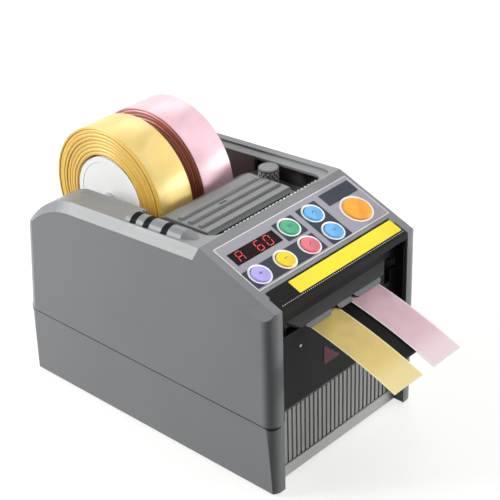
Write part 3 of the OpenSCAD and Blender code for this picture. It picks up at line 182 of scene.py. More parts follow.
def satin(name, face, edge, selvedge):
    """Satin ribbon: fine weft lines, glossy floats along its length, and plainer edges."""
    s = Shader(name, IOR=1.7, Specular_IOR_Level=0.8, Anisotropic=0.7)
    s.set(s.bsdf, Sheen_Weight=0.15, Sheen_Roughness=0.4, Specular_Tint=shaded(linear(selvedge), 1.1))
    place = s.place("UV")
    floats = s.noise(s.place("UV", (1, 0.05, 1)), 0.25 * MM, 2.0)
    weft = s.node("TexWave", Scale=0.32 / MM / math.tau * 2, Distortion=1.2, Detail=2.0)
    weft.bands_direction = "Y"
    s.link(place, weft.inputs["Vector"])
    slow = s.noise(place, 30 * MM, 2.0)
    woven = s.mix(s.span(floats, 0, 1), shaded(linear(face), 0.95), shaded(linear(face), 1.04))
    tinted = s.mix(s.span(slow, 0, 0.35), woven, shaded(linear(face), 0.93))
    # Painted shade in patches near the tape's root by the cutter.
    patches = s.span(s.noise(place, 11 * MM, 2.0), 0.15, 0.9, 0.4, 0.62)
    shaded_near_root = s.mix(s.times(s.attribute("root_shade"), patches), tinted, shaded(linear(face), 0.7))
    # Painted light past the tongue, paler towards the selvedge colour.
    lit_past_tongue = s.mix(s.attribute("clear"), shaded_near_root, shaded(linear(selvedge), 0.95))
    trimmed = s.mix(s.attribute("selvedge"), lit_past_tongue, linear(selvedge))
    threads = s.noise(s.place(scale=(0.2, 1, 1)), 0.7 * MM, 3.0)
    # The sides take the edge colour, which carries painted shade.
    layers = s.mix(s.span(threads, 0, 1), shaded(linear(edge), 0.85), shaded(linear(edge), 1.1))
    # Low tone values darken the sides: painted shade in the gaps between turns, and random tone elsewhere.
    side = s.mix(s.attribute("tone"), shaded(linear(edge), 0.72), layers)
    s.color(s.mix(s.attribute("edge"), trimmed, side))
    s.roughness(s.span(floats, 0.3, 0.42))
    s.bump(weft.outputs["Fac"], 0.006 * MM, 0.7)
    s.bump(floats, 0.006 * MM, 0.5)
    tangent = s.node("Tangent")
    tangent.direction_type = "UV_MAP"
    s.link(tangent.outputs["Tangent"], s.bsdf.inputs["Tangent"])
    return s.material


def card(name, code):
    """Plain card of a roll's core, with faint fibres."""
    s = Shader(name, Roughness=0.85)
    base = linear(code)
    fibres = s.noise(s.place(scale=(0.3, 1, 1)), 0.8 * MM, 5.0)
    s.color(s.mix(s.span(fibres, 0, 1), shaded(base, 0.95), base))
    s.bump(fibres, 0.03 * MM)
    return s.material


def lamp(name, code, strength):
    """A lit display segment, whose light is strongest inside the segment."""
    s = Shader(name, Roughness=0.4, Emission_Strength=strength)
    base = linear(code)
    glow = s.noise(s.place(), 1.2 * MM)
    lit = s.mix(s.span(glow, 0, 1), shaded(base, 0.85), base)
    s.color(lit)
    s.link(lit, s.bsdf.inputs["Emission Color"])
    return s.material


def fluted(name, code, roughness, pitch):
    """Black plastic with fine upright lines."""
    s = Shader(name, Specular_IOR_Level=0.12)
    s.rounded(0.3)
    base = linear(code)
    lines = s.node("TexWave", Scale=math.tau / (20 * pitch * MM))
    lines.bands_direction = "X"
    s.link(s.place(), lines.inputs["Vector"])
    slow = s.noise(s.place(), 25 * MM, 2.0)
    s.color(s.mix(s.span(slow, 0, 1), shaded(base, 0.85), shaded(base, 1.2)))
    s.roughness(s.span(slow, roughness - 0.05, roughness + 0.08))
    s.bump(lines.outputs["Fac"], 0.05 * MM, 0.5)
    return s.material


finish = {
    "body_plastic": plastic("body_plastic", "#828486", 0.3, change=0.02, edge=0.35,
                            Specular_IOR_Level=0.2),
    "front_plastic": plastic("front_plastic", "#a2a3a1", 0.4, change=0.04, edge=0.3),
    "dark_plastic": plastic("dark_plastic", "#606264", 0.36, edge=0.35),
    "black_plastic": plastic("black_plastic", "#131416", 0.45, change=0.12, edge=0.3,
                             Specular_IOR_Level=0.1),
    "foot_rubber": plastic("foot_rubber", "#1d1e1f", 0.8, grain=0.6, depth=0.03, edge=0.4),
    "roller_rubber": plastic("roller_rubber", "#2a2b2d", 0.75, grain=0.8, depth=0.03, edge=0.3),
    "steel": metal("steel", "#c3c6ca", 0.3),
    "brass": metal("brass", "#c9a35c", 0.3),
    "white_plastic": plastic("white_plastic", "#ededeb", 0.5, change=0.01, edge=0.5),
    "core_card": card("core_card", "#f2f2f0"),
    # The side colours carry painted shade, most of all the pink roll's red-brown side.
    "yellow_ribbon": satin("yellow_ribbon", "#edcd7c", "#eab94a", "#fbf0bc"),
    "pink_ribbon": satin("pink_ribbon", "#ebbfcb", "#b4503f", "#fdf3f6"),
    "lens_red": plastic("lens_red", "#6a2f40", 0.25, grain=1.5, edge=0.3, Specular_IOR_Level=0.2),
    "overlay_film": plastic("overlay_film", "#94929b", 0.36, grain=0.2, depth=0.006, change=0.02),
    "display_red": plastic("display_red", "#160608", 0.15, grain=2, depth=0.002,
                           Specular_IOR_Level=0.15),
    "circuit_board": plastic("circuit_board", "#2e5a3c", 0.4),
    "button_purple": plastic("button_purple", "#b3a6ef", 0.4, change=0.03, edge=0.3),
    "button_yellow": plastic("button_yellow", "#efcf22", 0.4, change=0.03, edge=0.3),
    "button_pink": plastic("button_pink", "#e0707f", 0.4, change=0.03, edge=0.3),
    "button_green": plastic("button_green", "#4cab82", 0.4, change=0.03, edge=0.3),
    "button_blue": plastic("button_blue", "#68b2ef", 0.4, change=0.03, edge=0.3),
    "button_orange": plastic("button_orange", "#f39f24", 0.4, change=0.03, edge=0.3),
}
fluted_black = fluted("fluted_black", "#0f1012", 0.4, 0.9)
# Paler grey for the cutter's visor: painted light.
visor_painted_light = plastic("visor_painted_light", "#2e2f31", 0.42, edge=0.2, Specular_IOR_Level=0.25)
lip_steel = metal("lip_steel", "#5e5f61", 0.36)
# A touch paler than the body plastic: painted highlight on the slanted rim faces.
rim_gloss_and_highlight = plastic("rim_gloss_and_highlight", "#868889", 0.27, change=0.02, edge=0.35, Specular_IOR_Level=0.22)
cover_grey = plastic("cover_grey", "#6b6c6d", 0.38, change=0.03, edge=0.35)
sill_grey = plastic("sill_grey", "#c4c5c3", 0.4, change=0.03, edge=0.3)
seam_shadow = plastic("seam_shadow", "#343536", 0.6, Specular_IOR_Level=0.1)
# Pale grey for the knob's raised blocks: painted highlight.
knob_block_highlight = plastic("knob_block_highlight", "#c6c7c7", 0.4, edge=0.2)
# Black for slots and gaps: painted shade.
gap_shade_black = plastic("gap_shade_black", "#0f1011", 0.6, Specular_IOR_Level=0.06)
# Pale grey for small edge marks: painted highlight.
pale_dot_highlight = plastic("pale_dot_highlight", "#b9bab8", 0.5)
print_dark = plastic("print_dark", "#343944", 0.4, grain=0.2, depth=0.006, Specular_IOR_Level=0.2)
print_white = plastic("print_white", "#f6f6f4", 0.45, grain=0.2, depth=0.006, change=0.01)
border_highlight_line = plastic("border_highlight_line", "#dcdcdc", 0.4, grain=0.2, depth=0.006, change=0.02)
print_ink = plastic("print_ink", "#4a4f5c", 0.5, grain=0.2, depth=0.006)
strip_yellow = plastic("strip_yellow", "#f4dc24", 0.42, grain=0.3, depth=0.008, change=0.03)
segment_lit = lamp("segment_lit", "#d8383c", 0.5)
segment_dim = plastic("segment_dim", "#1c0809", 0.35, Specular_IOR_Level=0.1)


# Meshes

def new_piece(name, verts, faces, material, body, slot=None, smooth_under=35):
    """A piece of the object from its points and faces, riding on a body."""
    mesh = bpy.data.meshes.new(name)
    mesh.from_pydata([tuple(v) for v in verts], [], faces)
    piece = bpy.data.objects.new(name, mesh)
    bpy.context.scene.collection.objects.link(piece)
    bm = bmesh.new()
    bm.from_mesh(mesh)
    bmesh.ops.recalc_face_normals(bm, faces=bm.faces)
    for edge in bm.edges:
        edge.smooth = len(edge.link_faces) == 2 and edge.calc_face_angle() < math.radians(smooth_under)
    for face in bm.faces:
        face.smooth = True
    bm.to_mesh(mesh)
    bm.free()
    mesh.materials.append(material)
    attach(piece, body)
    return piece


def joined(*parts):
    verts, faces = [], []
    for part_verts, part_faces in parts:
        start = len(verts)
        verts += part_verts
        faces += [tuple(start + i for i in face) for face in part_faces]
    return verts, faces


def prism(low, high):
    """Closed solid between two matching outlines."""
    n = len(low)
    sides = [(i, (i + 1) % n, n + (i + 1) % n, n + i) for i in range(n)]
    return list(low) + list(high), [tuple(reversed(range(n))), tuple(range(n, 2 * n))] + sides


def loops(rings, close_ends=True):
    """Closed skin through a row of matching closed rings."""
    n = len(rings[0])
    verts = [p for ring in rings for p in ring]
    faces = []
    for k in range(len(rings) - 1):
        faces += [(k * n + i, k * n + (i + 1) % n, (k + 1) * n + (i + 1) % n, (k + 1) * n + i)
                  for i in range(n)]
    if close_ends:
        last = (len(rings) - 1) * n
        faces += [tuple(reversed(range(n))), tuple(range(last, last + n))]
    return verts, faces


def surface(node):
    """The CAD node's skin, for finding places on it."""
    mesh, place = nodes[node].data, nodes[node].matrix_world
    points = [place @ v.co for v in mesh.vertices]
    return BVHTree.FromPolygons(points, [tuple(p.vertices) for p in mesh.polygons])


# Control panel

press = Vector(joints["purple_button_press"]["axis"])
panel_up = Vector((0, -press.z, press.y))
panel_out = -press
overlay_front = 14.6
overlay_low, overlay_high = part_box("panel_overlay")
overlay_size = overlay_high - overlay_low
overlay_len = ((overlay_size.y * panel_up.y - overlay_size.z * panel_up.z)
               / (panel_up.y ** 2 - panel_up.z ** 2))
overlay_edge = Vector((0, overlay_low.y, overlay_high.z - overlay_len * panel_up.z))
panel_origin = overlay_edge - panel_up * overlay_front * MM


def on_panel(x, v, n):
    """Point at x across and v up the slanted panel, n above it, in millimetres."""
    return panel_origin + Vector((x * MM, 0, 0)) + panel_up * (v * MM) + panel_out * (n * MM)


def panel_place(node):
    """Place of a button on the panel."""
    low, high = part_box(node)
    middle = (low + high) / 2 - panel_origin
    return middle.x / MM, middle.dot(panel_up) / MM


def plate(outline, low, high):
    return prism([on_panel(x, v, low) for x, v in outline], [on_panel(x, v, high) for x, v in outline])


def rounded_outline(x0, v0, x1, v1, r, steps=6):
    corners = ((x1 - r, v0 + r, -90), (x1 - r, v1 - r, 0), (x0 + r, v1 - r, 90), (x0 + r, v0 + r, 180))
    points = []
    for cx, cv, start in corners:
        for i in range(steps + 1):
            a = math.radians(start + 90 * i / steps)
            points.append((cx + r * math.cos(a), cv + r * math.sin(a)))
    return points


def ring(x, v, inner, outer, low, high, steps=72):
    rings = []
    for r, n in ((inner, low), (outer, low), (outer, high), (inner, high), (inner, low)):
        turn = [math.tau * i / steps for i in range(steps)]
        rings.append([on_panel(x + r * math.cos(a), v + r * math.sin(a), n) for a in turn])
    return loops(rings, close_ends=False)


small_buttons = ("purple_button", "yellow_button", "pink_button", "green_button",
                 "up_button", "down_button")
print_t = 0.05


def panel_print():
    """Dark patches and white rings printed on the overlay, and a pale line round its border that paints the
    highlight on the sheet's edge.
    """
    patches = [
        rounded_outline(-53, 16.3, 4.2, 29.3, 0.8),
        rounded_outline(-12, 31.3, 4.3, 45.6, 0.8),
        rounded_outline(8.2, 15.8, 24.8, 46, 0.8),
        rounded_outline(29.5, 37.6, 55, 47, 0.5),
    ]
    dark = joined(*[plate(p, 0, print_t) for p in patches])
    new_piece("panel_patches", *dark, print_dark, "base", "overlay_film")
    rings = []
    for name in small_buttons:
        rings.append(ring(*panel_place(name), 5.75, 7.0, 0, 2 * print_t))
    rings.append(ring(*panel_place("start_button"), 8.75, 10.2, 0, 2 * print_t))
    new_piece("button_rings", *joined(*rings), print_white, "base", "overlay_film")
    # The pale border line is painted highlight on the overlay's edge.
    outer = rounded_outline(-53.6, 14.9, 56.6, 50.1, 1.0)
    inner = rounded_outline(-53.1, 15.4, 56.1, 49.6, 0.6)
    frame_rings = [[on_panel(x, v, n) for x, v in line]
                   for line, n in ((inner, 0), (outer, 0), (outer, print_t), (inner, print_t), (inner, 0))]
    new_piece("panel_border_highlight", *loops(frame_rings, close_ends=False), border_highlight_line, "base", "overlay_film")


def stroke(x0, v0, x1, v1, width, low, high):
    """A straight printed line between two places on the panel."""
    a, b = Vector((x0, v0)), Vector((x1, v1))
    side = (b - a).normalized().orthogonal() * width / 2
    return plate([tuple(p) for p in (a - side, b - side, b + side, a + side)], low, high)


def button_marks():
    """Plain signs on the buttons: plus, minus, a slanted bar, two bars and arrows."""
    line_w, sunk, proud = 0.45, 0.15, 0.03
    lines = {
        "purple_button": [(-1.1, 0, 1.1, 0), (0, -1.1, 0, 1.1)],
        "yellow_button": [(-1.2, 0, 1.2, 0)],
        "pink_button": [(-1.2, -0.9, 1.2, 0.9)],
        "green_button": [(-0.7, -1.1, -0.7, 1.1), (0.7, -1.1, 0.7, 1.1)],
        "up_button": [(-1.3, -0.6, 0, 0.9), (0, 0.9, 1.3, -0.6)],
        "down_button": [(-1.3, 0.6, 0, -0.9), (0, -0.9, 1.3, 0.6)],
    }
    for name, marks in lines.items():
        x, v = panel_place(name)
        height = button_top(name)
        parts = [stroke(x + a, v + b, x + c, v + d, line_w, height - sunk, height + proud)
                 for a, b, c, d in marks]
        new_piece(name + "_mark", *joined(*parts), print_ink, name, slot_of[name])


def button_top(name):
    """Height of a button's crown above the panel."""
    return max((v.co - panel_origin).dot(panel_out) for v in nodes[name].data.vertices) / MM


def display():
    """Seven-segment characters behind the display window."""
    low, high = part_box("display_window")
    left, room = low.x / MM, (high.x - low.x) / MM
    wide, tall, bar, lean = 3.9, 6.8, 0.52, 0.12
    base_v = panel_place("display_window")[1] - tall / 2
    half = tall / 2
    ends = {
        "a": ((0, tall), (wide, tall)), "b": ((wide, half), (wide, tall)), "c": ((wide, 0), (wide, half)),
        "d": ((0, 0), (wide, 0)), "e": ((0, 0), (0, half)), "f": ((0, half), (0, tall)),
        "g": ((0, half), (wide, half)),
    }
    shown = ((0.11, "abcefg"), (0.31, ""), (0.52, "acdefg"), (0.73, "abcdef"))
    parts = {True: [], False: []}
    for share, lit in shown:
        start = share * room
        for name, ((x0, v0), (x1, v1)) in ends.items():
            along = Vector((x1 - x0, v1 - v0)).normalized() * 0.45
            p = (left + start + x0 + lean * v0 + along.x, base_v + v0 + along.y,
                 left + start + x1 + lean * v1 - along.x, base_v + v1 - along.y)
            parts[name in lit].append(stroke(*p, bar, 0, print_t))
    new_piece("display_digits", *joined(*parts[True]), segment_lit, "base", "display_red")
    new_piece("display_dim", *joined(*parts[False]), segment_dim, "base", "display_red")


hood_sink = -0.2


def hood_strip():
    """Bare yellow strip on the slanted top of the cutter cover, and pale dots along the crease in front of it that
    paint its highlight.
    """
    strip = plate(rounded_outline(-35, 1.7, 52.2, 11, 0.5), hood_sink, hood_sink + 0.12)
    new_piece("hood_strip", *strip, strip_yellow, "base", "black_plastic")
    # Pale dots along the crease: painted highlight on the edge.
    start, pitch, long, count = -50.5, 1.62, 0.85, 64
    dots = []
    for i in range(count):
        x = start + pitch * i
        dots.append(plate(rounded_outline(x, 0.35, x + long, 0.8, 0.15, 2), hood_sink, hood_sink + 0.06))
    new_piece("hood_crease_highlight", *joined(*dots), pale_dot_highlight, "base", "black_plastic")


# Rolls and tapes

reel_pos = Vector(joints["reel_spin"]["pos_m"])
feed_pos = Vector(joints["feed_spin"]["pos_m"])
roll_r = reel_pos.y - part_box("yellow_tape_roll")[0].y
feed_r = (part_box("feed_roller")[1].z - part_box("feed_roller")[0].z) / 2
soft_gap = 0.3 * MM
tape_t = 0.3 * MM


def side(angle):
    return Vector((0, math.cos(angle), math.sin(angle)))


def tape_route():
    """Middle line of the tape from the roll, over the feed roller, to the fixed blade."""
    reel_r = roll_r + soft_gap + tape_t / 2
    turn_r = feed_r + soft_gap + tape_t / 2
    way = reel_pos - feed_pos
    leave = math.atan2(way.z, way.y) - math.asin((reel_r + turn_r) / way.length) + math.pi / 2
    blade_low, blade_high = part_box("fixed_blade")
    cut = Vector((0, blade_low.y + 0.35 * MM, blade_high.z + soft_gap + tape_t / 2))
    way = cut - feed_pos
    arrive = math.atan2(way.z, way.y) + math.tau - math.acos(turn_r / way.length)
    steps = 14
    arc = [feed_pos + turn_r * side(leave + (arrive - leave) * i / steps) for i in range(steps + 1)]
    start = reel_pos - reel_r * side(leave)
    run = [start.lerp(arc[0], i / 10) for i in range(10)]
    out = [arc[-1].lerp(cut, i / 6) for i in range(1, 7)]
    return run + arc + out, leave


def free_route():
    """Middle line of the free tape in front of the blades, drooping to its cut end."""
    low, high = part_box("yellow_tape_end")
    slope, droop, long = math.radians(10.3), 1.85, high.y - low.y
    steps = 30
    points = []
    for i in range(steps + 1):
        s = long * i / steps
        points.append(Vector((0, high.y - s, high.z - tape_t / 2 - s * math.tan(slope) - droop * s * s)))
    return points


def length_of(points):
    return sum((b - a).length for a, b in zip(points, points[1:]))


def ribbon(name, node, points, crown, root_shade_depth=0.0):
    """A woven sheet along a route, a little crowned, with firm selvedges.

    It is darker in patches near its root by the cutter, as painted shade, and paler past the tongue, as painted
    light out of the cutter's shadow."""
    low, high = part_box(node)
    wide = high.x - low.x
    columns = [0, 0.012, 0.03, 0.12, 0.28, 0.5, 0.72, 0.88, 0.97, 0.988, 1]
    verts, faces, uvs, firm, clear, root_shade = [], [], [], [], [], []
    whole = length_of(points)
    backed_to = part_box("outfeed_tongue")[0].y
    run = 0.0
    for k, p in enumerate(points):
        before, after = points[max(k - 1, 0)], points[min(k + 1, len(points) - 1)]
        along = (after - before).normalized()
        up = Vector((0, -along.z, along.y))
        up = up if up.z >= 0 or abs(along.z) > 0.9 else -up
        run += (p - points[k - 1]).length if k else 0
        # Painted light past the tongue's end, where the tape leaves the cutter's shadow.
        past = (backed_to + 5 * MM - p.y) / (10 * MM)
        clear += [0.5 * min(1.0, max(0.0, past))] * (2 * len(columns))
        # Painted shade near the root, fading along the tape.
        root_shade += [root_shade_depth * max(0.0, 1 - run / (0.85 * whole))] * (2 * len(columns))
        for face in (1, -1):
            for u in columns:
                rise = crown * MM * (1 - (2 * u - 1) ** 2)
                verts.append(Vector((low.x + u * wide, 0, 0)) + p + up * (rise + face * tape_t / 2))
                uvs.append((u * wide, run))
    n = len(columns)
    for k in range(len(points) - 1):
        a, b = k * 2 * n, (k + 1) * 2 * n
        for i in range(n - 1):
            faces.append((a + i, a + i + 1, b + i + 1, b + i))
            faces.append((a + n + i + 1, a + n + i, b + n + i, b + n + i + 1))
            firm += [float(i in (0, 1, n - 3, n - 2))] * 2
        faces += [(a, b, b + n, a + n), (a + n - 1, a + 2 * n - 1, b + 2 * n - 1, b + n - 1)]
        firm += [1.0, 1.0]
    for a in (0, (len(points) - 1) * 2 * n):
        faces += [(a + i, a + i + 1, a + n + i + 1, a + n + i) for i in range(n - 1)]
        firm += [1.0] * (n - 1)
    piece = new_piece(name, verts, faces, finish[slot_of[node]], "base", slot_of[node])
    none, full = [0.0] * len(faces), [1.0] * len(faces)
    paint(piece, uvs, {"selvedge": firm, "clear": clear, "root_shade": root_shade, "edge": none, "tone": full})
    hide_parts(node)


def paint(piece, uvs, named_values):
    """UVs by point, in metres, and named values by point or by face."""
    layer = piece.data.uv_layers.new(name="weave")
    for loop in piece.data.loops:
        layer.data[loop.index].uv = uvs[loop.vertex_index]
    for name, values in named_values.items():
        domain = "POINT" if len(values) == len(piece.data.vertices) else "FACE"
        piece.data.attributes.new(name, "FLOAT", domain).data.foreach_set("value", values)


def wound_roll(name, node, core, leave, seed):
    """One ribbon wound from the core out to where it leaves, its turns lying a little uneven.

    The inner turns stand for bundles of turns; the last one is a single ribbon."""
    draw = random.Random(seed)
    low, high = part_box(node)
    core_low, core_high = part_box(core)
    inner = (core_high.z - core_low.z) / 2 + 0.15 * MM
    turns, steps = 9, 96
    pitch = (roll_r - 0.05 * MM - inner - 2 * tape_t) / (turns - 1)
    shifts = [draw.uniform(-0.3, 0.3) * MM for _ in range(turns + 2)]
    tones = [draw.uniform(0.35, 1.0) for _ in range(turns + 1)]

    def radius(done):
        return inner + pitch * min(done, turns - 1) + tape_t * max(0.0, done - turns + 1)

    verts, faces, uvs, edges, tone = [], [], [], [], []
    run = 0.0
    middle = Vector((0, reel_pos.y, reel_pos.z))
    for i in range(turns * steps + 1):
        done = i / steps
        angle = leave - math.pi + math.tau * (turns - done)
        r = radius(done)
        thick = 0.97 * (radius(done + 1) - r)
        soft = min(0.4 * MM, 0.38 * thick)
        turn = int(done)
        blend = min(1.0, (done - turn) * 3)
        shift = shifts[turn] * (1 - blend) + shifts[turn + 1] * blend
        shift *= min(1.0, (turns - done) * 2)
        x0, x1, cut = low.x + shift, high.x + shift, 0.29 * soft
        top = r + thick
        section = ((x0 + soft, r), (x1 - soft, r), (x1 - cut, r + cut), (x1, r + soft), (x1, top - soft),
                   (x1 - cut, top - cut), (x1 - soft, top), (x0 + soft, top), (x0 + cut, top - cut),
                   (x0, top - soft), (x0, r + soft), (x0 + cut, r + cut))
        verts += [middle + Vector((x, 0, 0)) + reach * side(angle) for x, reach in section]
        uvs += [(x - low.x, run) for x, reach in section]
        run += r * math.tau / steps
    n = 12
    part_of_face = {0: 0.0, 6: 0.0, 5: 0.3, 7: 0.3, 4: 0.6, 8: 0.6}
    # Faces in the gaps between turns get painted shade; the other side faces vary in tone at random.
    shaded_gap_parts = (1, 2, 10, 11)
    for k in range(turns * steps):
        for i in range(n):
            faces.append((k * n + i, k * n + (i + 1) % n, (k + 1) * n + (i + 1) % n, (k + 1) * n + i))
            edges.append(part_of_face.get(i, 1.0))
            tone.append(0.0 if i in shaded_gap_parts else tones[k // steps])
    faces += [tuple(range(n)), tuple(reversed(range(turns * steps * n, (turns * steps + 1) * n)))]
    edges += [1.0, 1.0]
    tone += [1.0, 1.0]
    piece = new_piece(name, verts, faces, finish[slot_of[node]], "reel", slot_of[node], 60)
    none = [0.0] * len(faces)
    paint(piece, uvs, {"edge": edges, "selvedge": none, "clear": none, "root_shade": none, "tone": tone})
    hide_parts(node)


def tapes():
    route, leave = tape_route()
    free = free_route()
    for color, seed in (("yellow", 3), ("pink", 8)):
        wound_roll(color + "_winding", color + "_tape_roll", color + "_core", leave, seed)
        ribbon(color + "_web_ribbon", color + "_tape_web", route, 0.0)
        ribbon(color + "_end_ribbon", color + "_tape_end", free, 0.25, 0.9)


# Case, feed unit and cutter

def ridge_slot_shade():
    """Black bands over the slots across the ridge, following its round top: painted shade in the slots."""
    skin = surface("upper_case")
    well_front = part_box("feed_deck")[1].y + 3 * MM
    left, right, columns = -58.2 * MM, -46.2 * MM, 25
    half, proud, depth = 2.3 * MM, 0.06 * MM, 0.6 * MM
    down = Vector((0, 0, -1))
    parts = []
    for back in (6, 16, 30):
        middle = well_front - back * MM
        top = []
        for i in range(columns):
            x = left + (right - left) * i / (columns - 1)
            ends = [skin.ray_cast(Vector((x, middle + s * half, 1)), down)[0].z for s in (-1, 1)]
            top.append((x, ends))
        rings = []
        for x, (front, rear) in top:
            corners = ((-half, front), (half, rear))
            rings.append([Vector((x, middle + y, z + proud)) for y, z in corners]
                         + [Vector((x, middle + y, z - depth)) for y, z in reversed(corners)])
        parts.append(loops(rings))
    # The black bands paint the shade in the slots.
    new_piece("ridge_slot_shade", *joined(*parts), gap_shade_black, "base", "body_plastic")


def outer_line(node, z):
    """The node's outer outline at a height, from its leftmost point round."""
    cut = bmesh.new()
    cut.from_mesh(nodes[node].data)
    cut.transform(nodes[node].matrix_world)
    bmesh.ops.remove_doubles(cut, verts=cut.verts, dist=0.001 * MM)
    geometry = cut.verts[:] + cut.edges[:] + cut.faces[:]
    made = bmesh.ops.bisect_plane(cut, geom=geometry, plane_co=(0, 0, z), plane_no=(0, 0, 1))["geom_cut"]
    edges = {e for e in made if isinstance(e, bmesh.types.BMEdge)}
    start = min((v for e in edges for v in e.verts), key=lambda v: (v.co.x, v.co.y))
    line, here = [], start
    while True:
        line.append(here.co.copy())
        edge = next((e for e in here.link_edges if e in edges), None)
        if edge is None:
            break
        edges.discard(edge)
        here = edge.other_vert(here)
        if here is start:
            break
    cut.free()
    return line


def band(path, low, high, sunk, proud, corner=0.0):
    """A flat band along a level path, deeper where the path turns round a front corner."""
    middle = sum((p.y for p in path), 0.0) / len(path)
    rings = []
    for k, p in enumerate(path):
        along = path[min(k + 1, len(path) - 1)] - path[max(k - 1, 0)]
        out = Vector((along.y, -along.x, 0)).normalized()
        out = out if out.x * p.x + out.y * (p.y - middle) > 0 else -out
        down = low - corner * 2 * abs(out.x) * max(0.0, -out.y)
        rings.append([Vector((p.x, p.y, z)) + out * reach
                      for z, reach in ((down, -sunk), (high, -sunk), (high, proud), (down, proud))])
    return loops(rings)


def case_seam():
    """Painted shadow along the parting line between the two halves of the case, deeper at the front corners."""
    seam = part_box("lower_case")[1].z
    line = outer_line("lower_case", seam - 0.4 * MM)
    front, side_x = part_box("lower_case")[0].y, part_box("front_panel")[1].x
    around = [p for p in line if abs(p.x) > side_x + 0.6 * MM or p.y > front + 40 * MM]
    gap = max(range(len(around)), key=lambda k: (around[k] - around[k - 1]).length)
    path = around[gap:] + around[:gap]
    # A dark band under the upper case's edge: painted shadow, deeper at the front corners.
    dark = band(path, seam - 0.75 * MM, seam - 0.02 * MM, 0.3 * MM, 0.12 * MM, 0.9 * MM)
    new_piece("seam_shadow", *dark, seam_shadow, "base", "body_plastic")


def bay_details():
    """Black strip across the feed cover that paints the shadow in the gap behind the lip, and fine pale teeth on
    the lip in front of it, whose colour paints the highlight on its edge.
    """
    down = Vector((0, 0, -1))
    case, cover = surface("upper_case"), surface("feed_cover")
    drop, step = 5 * MM, 0.1 * MM

    def height(skin, x, y):
        spot = skin.ray_cast(Vector((x, y, 1)), down)[0]
        return spot.z if spot else 0.0

    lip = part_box("feed_cover")[0].y - 6 * MM
    edge_z = height(case, 0, lip)
    while height(case, 0, lip + step) > edge_z - drop:
        lip += step
    low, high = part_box("feed_cover")
    # The black strip paints the shadow in the gap between the lip and the cover.
    behind, wide, proud, inset = 8.6 * MM, 2.6 * MM, 0.12 * MM, 3 * MM
    ends = [(y, height(cover, 0, y)) for y in (lip + behind, lip + behind + wide)]
    outline = [(y, z - proud) for y, z in ends] + [(y, z + proud) for y, z in reversed(ends)]
    strip = prism(*[[Vector((x, y, z)) for y, z in outline] for x in (low.x + inset, high.x - inset)])
    new_piece("cover_gap_shadow", *strip, gap_shade_black, body_of["feed_cover"], slot_of["feed_cover"])

    # The teeth are pale grey: painted highlight along the lip's edge.
    first, last, pitch, long = -38 * MM, 38.5 * MM, 3 * MM, 1.6 * MM
    teeth = []
    x = first
    while x < last:
        z = height(case, x, lip - 0.2 * MM)
        square = ((x, lip - 0.5 * MM), (x + long, lip - 0.5 * MM), (x + long, lip), (x, lip))
        teeth.append(prism([Vector((a, b, z - 0.2 * MM)) for a, b in square],
                           [Vector((a, b, z + 0.7 * MM)) for a, b in square]))
        x += pitch
    new_piece("lip_teeth_highlight", *joined(*teeth), pale_dot_highlight, "base", "body_plastic")


def front_details():
    """Small screw on the black face under the hood."""
    screw_x, screw_z, steps = -31 * MM, 83 * MM, 24
    ahead = Vector((0, 1, 0))
    place = surface("cutter_base").ray_cast(Vector((screw_x, -1, screw_z)), ahead)[0]
    turn = [math.tau * i / steps for i in range(steps)]
    rings = []
    for r, out in ((0.85, -0.2), (0.85, 0.25), (0.7, 0.4), (0.3, 0.4), (0.25, 0.2)):
        rings.append([place + Vector((r * math.cos(a), -out, r * math.sin(a))) * MM for a in turn])
    new_piece("front_screw", *loops(rings), finish["steel"], "base", "steel")


def front_sill():
    """Paler sill under the ribs, and painted shade in the groove above it."""
    low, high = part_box("front_panel")
    sill_top, face = low.z + 7.4 * MM, low.y + 0.6 * MM
    mesh = nodes["front_panel"].data
    mesh.materials.append(sill_grey)
    for polygon in mesh.polygons:
        polygon.material_index = int(polygon.center.z < sill_top + 0.1 * MM)
    # A dark strip in the groove above the sill: painted shade.
    front, rear = face + 0.3 * MM, face + 1.2 * MM
    bottom, top = sill_top + 0.05 * MM, sill_top + 0.75 * MM
    section = ((front, bottom), (rear, bottom), (rear, top), (front, top))
    ends = [[Vector((x, y, z)) for y, z in section] for x in (low.x + 0.2 * MM, high.x - 0.2 * MM)]
    new_piece("sill_groove", *prism(*ends), seam_shadow, "base", "front_plastic")


